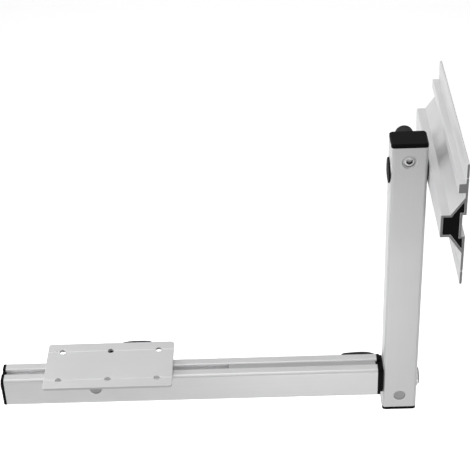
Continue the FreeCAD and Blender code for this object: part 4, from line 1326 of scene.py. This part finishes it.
@dataclass
class Arm(Assembly):
    """The slotted arm with its end caps, blocks, pivot shaft and slot cover strip."""

    corner: float = 4.5
    wall: float = 2.5
    slot: float = 8.4
    mouth_round: float = 2.2
    lip: float = 3.0
    channel: float = 18.0
    channel_depth: float = 6.0
    floor: float = 2.0
    cap_lip: float = 4.0
    cap_edge: float = 0.5
    skirt_reach: float = 8.0
    access: float = 7.75
    lever_hole: float = 4.4
    screw_hole: float = 3.1
    shaft_hole: float = 10.4
    shaft_reach: float = 27.0
    spacer_corner: float = 3.0

    @property
    def middle(self) -> Array:
        """Centre of the arm's section, as an (x, y, z) point with x = 0."""
        return Span.of("arm_profile").middle * [0, 1, 1]

    @property
    def half(self) -> Array:
        """Half the section's width and half its height."""
        return Span.of("arm_profile").size[1:] / 2

    @property
    def under(self) -> float:
        """Height of the lips' undersides above the section's centre."""
        return float(self.half[1]) - self.lip

    def chamber(self, inset: float) -> Array:
        """Section of the main chamber, with a cheek on each side of the slot's channel.

        Args:
            inset: how far it is drawn in from the walls.

        Returns:
            Its (y, z) points about the section's centre.
        """
        side, high = self.half - self.wall - inset
        inner = self.channel / 2 + self.floor + inset
        roof = self.under - self.channel_depth - self.floor - inset
        right = np.array([(side, -high), (side, high), (inner, high), (inner, roof)])
        return rounded_loop(np.vstack([right, right[::-1] * [-1, 1]]), 0.5, 4)

    def section(self) -> Array:
        """Outer section of the arm, with the slot's channel in it.

        Returns:
            Its (y, z) points about its centre.
        """
        (side, high), mouth, channel = self.half, self.slot / 2, self.channel / 2
        low = self.under - self.channel_depth
        return mirrored([(side, -high, self.corner), (side, high, self.corner),
                         (mouth, high, self.mouth_round), (mouth, self.under, 0.3),
                         (channel, self.under, 0.4), (channel, low, 0.4)], 9)

    def profile(self) -> None:
        """The arm: its section carried along x, then drilled, with its slot walls lightened by
        painted light.
        """
        span, hub = Span.of("arm_profile"), Span.of("plate_hub")
        shell = extruded([self.section(), self.chamber(0)],
                         broken(span.low[0], span.high[0], 0.2))
        made = make_object("arm_extrusion", shell.placed(Facing.RIGHT, self.middle))
        x, _, z = Span.of("arm_clamp_nut").middle
        radius, reach = self.shaft_hole, self.shaft_reach
        bore = turned([(0, -reach), (radius, -reach), (radius, reach), (0, reach)])
        cutters = [drill(self.access, 0.3).placed(Facing.FRONT, (x, span.low[1], z)),
                   drill(self.lever_hole, 0.2).placed(Facing.BACK, (x, span.high[1], z)),
                   bore.placed(Facing.UP, (hub.middle[0], 0, span.middle[2]))]
        for node in ("arm_block_screw_left", "arm_block_screw_right"):
            place = (Span.of(node).middle[0], 0, span.low[2])
            cutters.append(drill(self.screw_hole, 0.3).placed(Facing.DOWN, place))
        carve(made, cutters)
        smooth_by_angle(made)
        self.settle(made, DRAWN_ALUMINIUM, "arm_profile")
        _, across, up = (self.face_values(made, "center") / MM - self.middle).T
        slack, mouth_edge = 0.1, 1.2    # the walls start a little under the mouth's rounding
        low, high = self.under - self.channel_depth - slack, self.half[1] - mouth_edge
        # the slot's walls get the near-white copy of the aluminium: painted light
        inside = (np.abs(across) < self.channel / 2 + slack) & (up > low) & (up < high)
        self.dress_faces(made, SLOT_PAINTED_LIGHT_ALUMINIUM, Along.X, inside)

    def cap(self, node: str, facing: Facing) -> None:
        """End cap: a lip notched at the slot and a skirt in the chamber.

        The right cap has a key in the slot as well.

        Args:
            node: the CAD node that it stands for.
            facing: the side that it looks to.
        """
        span, right = Span.of(node), facing is Facing.RIGHT
        (side, high), notch, floor = self.half, self.slot / 2, self.under
        outline = mirrored([(side, -high, self.corner), (side, high, self.corner),
                            (notch, high, 0.5), (notch, floor, 0.3)], 8)
        shells = [extruded([outline], bevelled(0, self.cap_lip, self.cap_edge)),
                  extruded([self.chamber(0.1)], broken(-self.skirt_reach, 0.1, 0.05))]
        if right:
            height = self.channel_depth - 0.2
            key = rounded_loop(rectangle(self.channel - 0.2, height)
                               + [0, floor - 0.1 - height / 2], 0.4, 4)
            shells.append(extruded([key], broken(-2, 0.1, 0.05)))
        seat = span.high[0] - self.cap_lip if right else span.low[0] + self.cap_lip
        self.put(node + "_moulding", Shell.joined(shells), BLACK_PLASTIC, node, facing,
                 self.middle + [seat, 0, 0])

    def cap_screw(self) -> None:
        """Domed screw in the left cap: an elliptic dome over a plain stem."""
        span = Span.of("arm_cap_screw")
        radius, rise, stem, reach = span.size[1] / 2, 5.0, 4.0, 12.0
        turn = np.linspace(0, math.pi / 2, 14)
        dome = np.column_stack([radius * np.cos(turn), rise * np.sin(turn)])
        profile = np.vstack([[(0, -reach), (stem, -reach), (stem, 0)], dome])
        self.put("arm_cap_screw_dome", turned(profile), DARK_STEEL, "arm_cap_screw", Facing.LEFT,
                 (span.low[0] + rise, 0, span.middle[2]), Along.X, (0, 0, self.middle[2]))

    def spacer(self) -> None:
        """Spacer between the right cap and the post."""
        span = Span.of("arm_spacer")
        loop = rounded_loop(rectangle(*span.size[1:]), self.spacer_corner, 8)
        lift = Span.of("lower_pivot_shaft").middle[2] - span.middle[2]
        bore = circle(SHAFT_HOLE, 64) + [0, lift]
        shell = extruded([loop, bore], broken(0, span.size[0], 0.5))
        self.put("arm_spacer_moulding", shell, BLACK_PLASTIC, "arm_spacer", Facing.RIGHT,
                 (span.low[0], 0, span.middle[2]))

    def shaft(self) -> None:
        """Stepped lower shaft with a blind bore for its bolt."""
        span = Span.of("lower_pivot_shaft")
        length, thin, thick, step, bevel, bore, depth = (
            span.size[0], 8.0, 10.0, 45.0, 0.8, 4.0, 15.0)
        profile = [(0, 0), (thin - bevel, 0), (thin, bevel), (thin, step - 0.2), (thick, step),
                   *bored_end(thick, length, bore, depth, bevel)]
        self.put("lower_pivot_shaft_bar", turned(profile), BRIGHT_STEEL, "lower_pivot_shaft",
                 Facing.RIGHT, (span.low[0], 0, span.middle[2]), Along.X,
                 (0, 0, span.middle[2]))

    def strip(self) -> None:
        """Snap-in cover strip: a channel section with barbed legs, carried along x."""
        span = Span.of("slot_strip")
        high, under, mouth = span.high[2] - self.middle[2], self.under, self.slot / 2 - 0.1
        wall = 1.5
        foot, leg, barb = under - 3.6, mouth - wall, mouth + 1.3
        section = mirrored([(mouth, high, 0.35), (mouth, under, 0.1), (barb, under, 0.15),
                            (mouth, foot, 0.2), (leg, foot, 0.2), (leg, high - wall, 0.3)], 4)
        self.put("slot_strip_moulding", extruded([section], broken(span.low[0], span.high[0])),
                 GREY_PLASTIC, "slot_strip", Facing.RIGHT, self.middle)

    def block_screw(self, node: str) -> None:
        """Low-headed socket screw in the arm's underside.

        Args:
            node: the CAD node that it stands for.
        """
        span, head = Span.of(node), 2.0
        shell = socket_head(span.size[0] / 2, head, across=4.0, depth=1.4, stem=3.0,
                            reach=span.size[2] - head, edge=0.6, dome=0.3)
        x = span.middle[0]
        self.put(node + "_head", shell, BRIGHT_STEEL, node, Facing.DOWN,
                 (x, 0, span.low[2] + head), Along.Z, (x, 0, 0))

    def build(self) -> None:
        """Makes and dresses the arm's pieces."""
        self.profile()
        self.cap("arm_left_cap", Facing.LEFT)
        self.cap("arm_right_cap", Facing.RIGHT)
        self.cap_screw()
        self.spacer()
        self.shaft()
        self.strip()
        self.retaining_bolt("lower", Facing.RIGHT, DULL_STEEL)
        self.block_screw("arm_block_screw_left")
        self.block_screw("arm_block_screw_right")
        self.nut("arm_clamp_nut")
        self.hole_plug("arm_hole_plug")
        self.dress_node("arm_end_block", BLOCK_ALUMINIUM)
        self.dress_node("arm_clamp_block", BLOCK_ALUMINIUM)


# Plate

@dataclass
class Plate(Assembly):
    """The table plate with its hub, thrust washer and retaining bolt."""

    corner: float = 4.0
    edge: float = 0.6
    hole: float = 4.25
    spacing: float = 65.4
    row: float = 29.3
    groove: float = 1.5
    groove_depth: float = 0.9

    def sheet(self) -> None:
        """The plate: a rounded outline with six holes, and a groove along each row.

        Each groove is a prism of triangular section, cut out of the top.
        """
        span = Span.of("mounting_plate")
        length, width, thickness = span.size
        holes = [circle(self.hole, 48) + [step * self.spacing, side * self.row]
                 for side in (-1, 1) for step in (-1, 0, 1)]
        outline = rounded_loop(rectangle(length, width), self.corner, 10)
        layers = np.vstack([[(0.2, 0.0)], eased(0.2, thickness, self.edge, 5)])
        made = make_object("mounting_plate_sheet", extruded([outline, *holes], layers).placed(
            Facing.UP, (span.middle[0], 0, span.low[2])))
        flank, depth, end = 2 * self.groove, self.groove_depth, length / 2 + 2
        prism = extruded([np.array([(-flank, depth), (0, -depth), (flank, depth)])],
                         np.array([(0, -end), (0, end)]))
        carve(made, [prism.placed(Facing.RIGHT, (span.middle[0], side * self.row, span.high[2]))
                     for side in (-1, 1)])
        smooth_by_angle(made, degrees=20)
        self.settle(made, PLATE_ALUMINIUM, "mounting_plate")
        # the upright faces, sides and hole walls, get the darker copy: painted shade
        upright = np.abs(self.face_values(made, "normal")[:, Along.Z.value]) <= 0.2
        self.dress_faces(made, SIDE_PAINTED_SHADE_ALUMINIUM, Along.Z, upright)

    def hub(self) -> None:
        """Flange under the plate with its shaft, which has a blind bore for the bolt."""
        span = Span.of("plate_hub")
        radius, length, flange = span.size[0] / 2, span.size[2], 2.8
        shaft, bore, depth = 10.0, 4.0, 15.0
        profile = [(0, 0), (radius - 0.2, 0), (radius, 0.2), (radius, flange - 0.4),
                   (radius - 0.4, flange), (shaft + 0.4, flange), (shaft, flange + 0.4),
                   *bored_end(shaft, length, bore, depth)]
        x = span.middle[0]
        self.put("plate_hub_turning", turned(profile), BRIGHT_STEEL, "plate_hub", Facing.DOWN,
                 (x, 0, span.high[2]), Along.Z, (x, 0, 0))

    def build(self) -> None:
        """Makes and dresses the plate's pieces."""
        self.sheet()
        self.hub()
        self.washer("plate_thrust_washer", BLACK_PLASTIC, SHAFT_HOLE, Facing.UP)
        self.retaining_bolt("plate", Facing.DOWN, BRIGHT_STEEL)


# Studio

@dataclass(frozen=True)
class Lamp:
    """A square area lamp: its place and its aim in metres, its side and its power in watts."""

    name: str
    place: tuple[float, float, float]
    aim: tuple[float, float, float]
    size: float
    power: float

    def build(self) -> None:
        """Hangs the lamp."""
        data = bpy.data.lights.new(self.name, "AREA")
        data.size = self.size
        data.energy = self.power
        way = Vector(self.aim) - Vector(self.place)
        turn = way.to_track_quat("-Z", "Y").to_matrix().to_4x4()
        linked(self.name, data).matrix_world = Matrix.Translation(self.place) @ turn


MIDDLE = (-0.3, 0.0, -0.25)    # about the middle of the object, in metres
LAMPS = (
    Lamp("top_lamp", (-0.4, 0.3, 1.7), MIDDLE, 1.6, 15.4),
    Lamp("low_lamp", (-0.15, -0.55, -0.6), (-0.15, 0.0, -0.38), 0.3, 0.66),
    Lamp("front_lamp", (-0.3, -0.86, 0.86), (-0.3, 0.0, -0.37), 0.2, 1.3),
    Lamp("left_lamp", (-1.5, 0.1, 0.1), (-0.1, 0.0, -0.2), 0.8, 13.5),
    Lamp("right_lamp", (1.2, -1.0, 0.3), MIDDLE, 0.9, 5.0))


@dataclass
class Studio:
    """Camera, soft lamps, white surroundings and a pale floor."""

    lens: float = 105.82
    sensor: float = 36.0
    clip_start: float = 0.05
    azimuth: float = 1.16366
    elevation: float = 34.62796
    roll: float = 2.3788
    place: tuple[float, float, float] = (-0.23758, -1.428483, 0.848483)
    floor_level: float = -0.68
    floor_half: float = 6.0
    floor_grey: float = 0.86
    floor_roughness: float = 0.9
    floor_glow: float = 0.68
    ambient: float = 0.15

    def camera(self) -> None:
        """Sets up the camera at the photograph's viewing angle."""
        azimuth, elevation, roll = np.radians([self.azimuth, self.elevation, self.roll])
        forward = Vector((-math.sin(azimuth) * math.cos(elevation),
                          math.cos(azimuth) * math.cos(elevation), -math.sin(elevation)))
        right = Vector((math.cos(azimuth), math.sin(azimuth), 0))
        down = -right.cross(forward)
        across = math.cos(roll) * right + math.sin(roll) * down
        lower = -math.sin(roll) * right + math.cos(roll) * down
        data = bpy.data.cameras.new("camera")
        data.lens = self.lens
        data.sensor_width = self.sensor
        data.clip_start = self.clip_start
        made = linked("camera", data)
        turn = Matrix((across, -lower, -forward)).transposed()
        made.matrix_world = Matrix.Translation(self.place) @ turn.to_4x4()
        bpy.context.scene.camera = made

    def seen_white(self, tree: bpy.types.NodeTree) -> bpy.types.NodeSocket:
        """Tells the rays that see the surroundings white from those that light the object.

        Args:
            tree: the node tree that it is added to.

        Returns:
            The socket that is one for camera, glossy and transmission rays, else zero.
        """
        path = tree.nodes.new("ShaderNodeLightPath")
        total = path.outputs["Is Camera Ray"]
        for name in ("Is Glossy Ray", "Is Transmission Ray"):
            add = tree.nodes.new("ShaderNodeMath")
            add.operation = "MAXIMUM"
            tree.links.new(total, add.inputs[0])
            tree.links.new(path.outputs[name], add.inputs[1])
            total = add.outputs["Value"]
        return total

    def world(self) -> None:
        """White surroundings for the eye and for gloss, and a softer fill for the rest."""
        world = bpy.data.worlds.new("studio")
        world.use_nodes = True
        tree = world.node_tree
        background = tree.nodes["Background"]
        background.inputs["Color"].default_value = (1, 1, 1, 1)
        level = tree.nodes.new("ShaderNodeMapRange")
        level.inputs["To Min"].default_value = self.ambient
        level.inputs["To Max"].default_value = 1.0
        tree.links.new(self.seen_white(tree), level.inputs["Value"])
        tree.links.new(level.outputs["Result"], background.inputs["Strength"])
        bpy.context.scene.world = world

    def floor(self) -> None:
        """A pale floor well below the object, white to the eye but for the shadow."""
        corners = [(x, y, self.floor_level)
                   for x, y in rectangle(2 * self.floor_half, 2 * self.floor_half).tolist()]
        mesh = bpy.data.meshes.new("floor")
        mesh.from_pydata(corners, [], [(0, 1, 2, 3)])
        made = linked("floor", mesh)
        material = bpy.data.materials.new("floor_paint")
        material.use_nodes = True
        tree = material.node_tree
        inputs = tree.nodes["Principled BSDF"].inputs
        inputs["Base Color"].default_value = (*[self.floor_grey] * 3, 1)
        inputs["Roughness"].default_value = self.floor_roughness
        inputs["Emission Color"].default_value = (1, 1, 1, 1)
        glow = tree.nodes.new("ShaderNodeMath")
        glow.operation = "MULTIPLY"
        glow.inputs[1].default_value = self.floor_glow
        tree.links.new(self.seen_white(tree), glow.inputs[0])
        tree.links.new(glow.outputs["Value"], inputs["Emission Strength"])
        mesh.materials.append(material)

    def build(self) -> None:
        """Sets up the whole studio."""
        self.camera()
        self.world()
        self.floor()
        for lamp in LAMPS:
            lamp.build()


def main() -> None:
    """Builds every sub-assembly and the studio, in order."""
    logging.basicConfig(level=logging.INFO, format="%(message)s")
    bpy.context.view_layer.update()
    bpy.context.scene.view_settings.view_transform = "Standard"
    Rail("rail_body").build()
    Post("post_body").build()
    Arm("arm_body").build()
    Plate("plate_body").build()
    tilt = math.radians(2.0)
    for prefix, tube, heading in (
            ("upper", "post_tube", (0.0, 0.0, -1.0)), ("lower", "post_tube", (-1.0, 0.0, 0.0)),
            ("arm", "arm_profile", (math.cos(tilt), 0.0, math.sin(tilt)))):
        Lever(prefix + "_lever_body", prefix, tube, heading).build()
    Studio().build()
    bpy.context.view_layer.update()


if __name__ == "__main__":
    main()
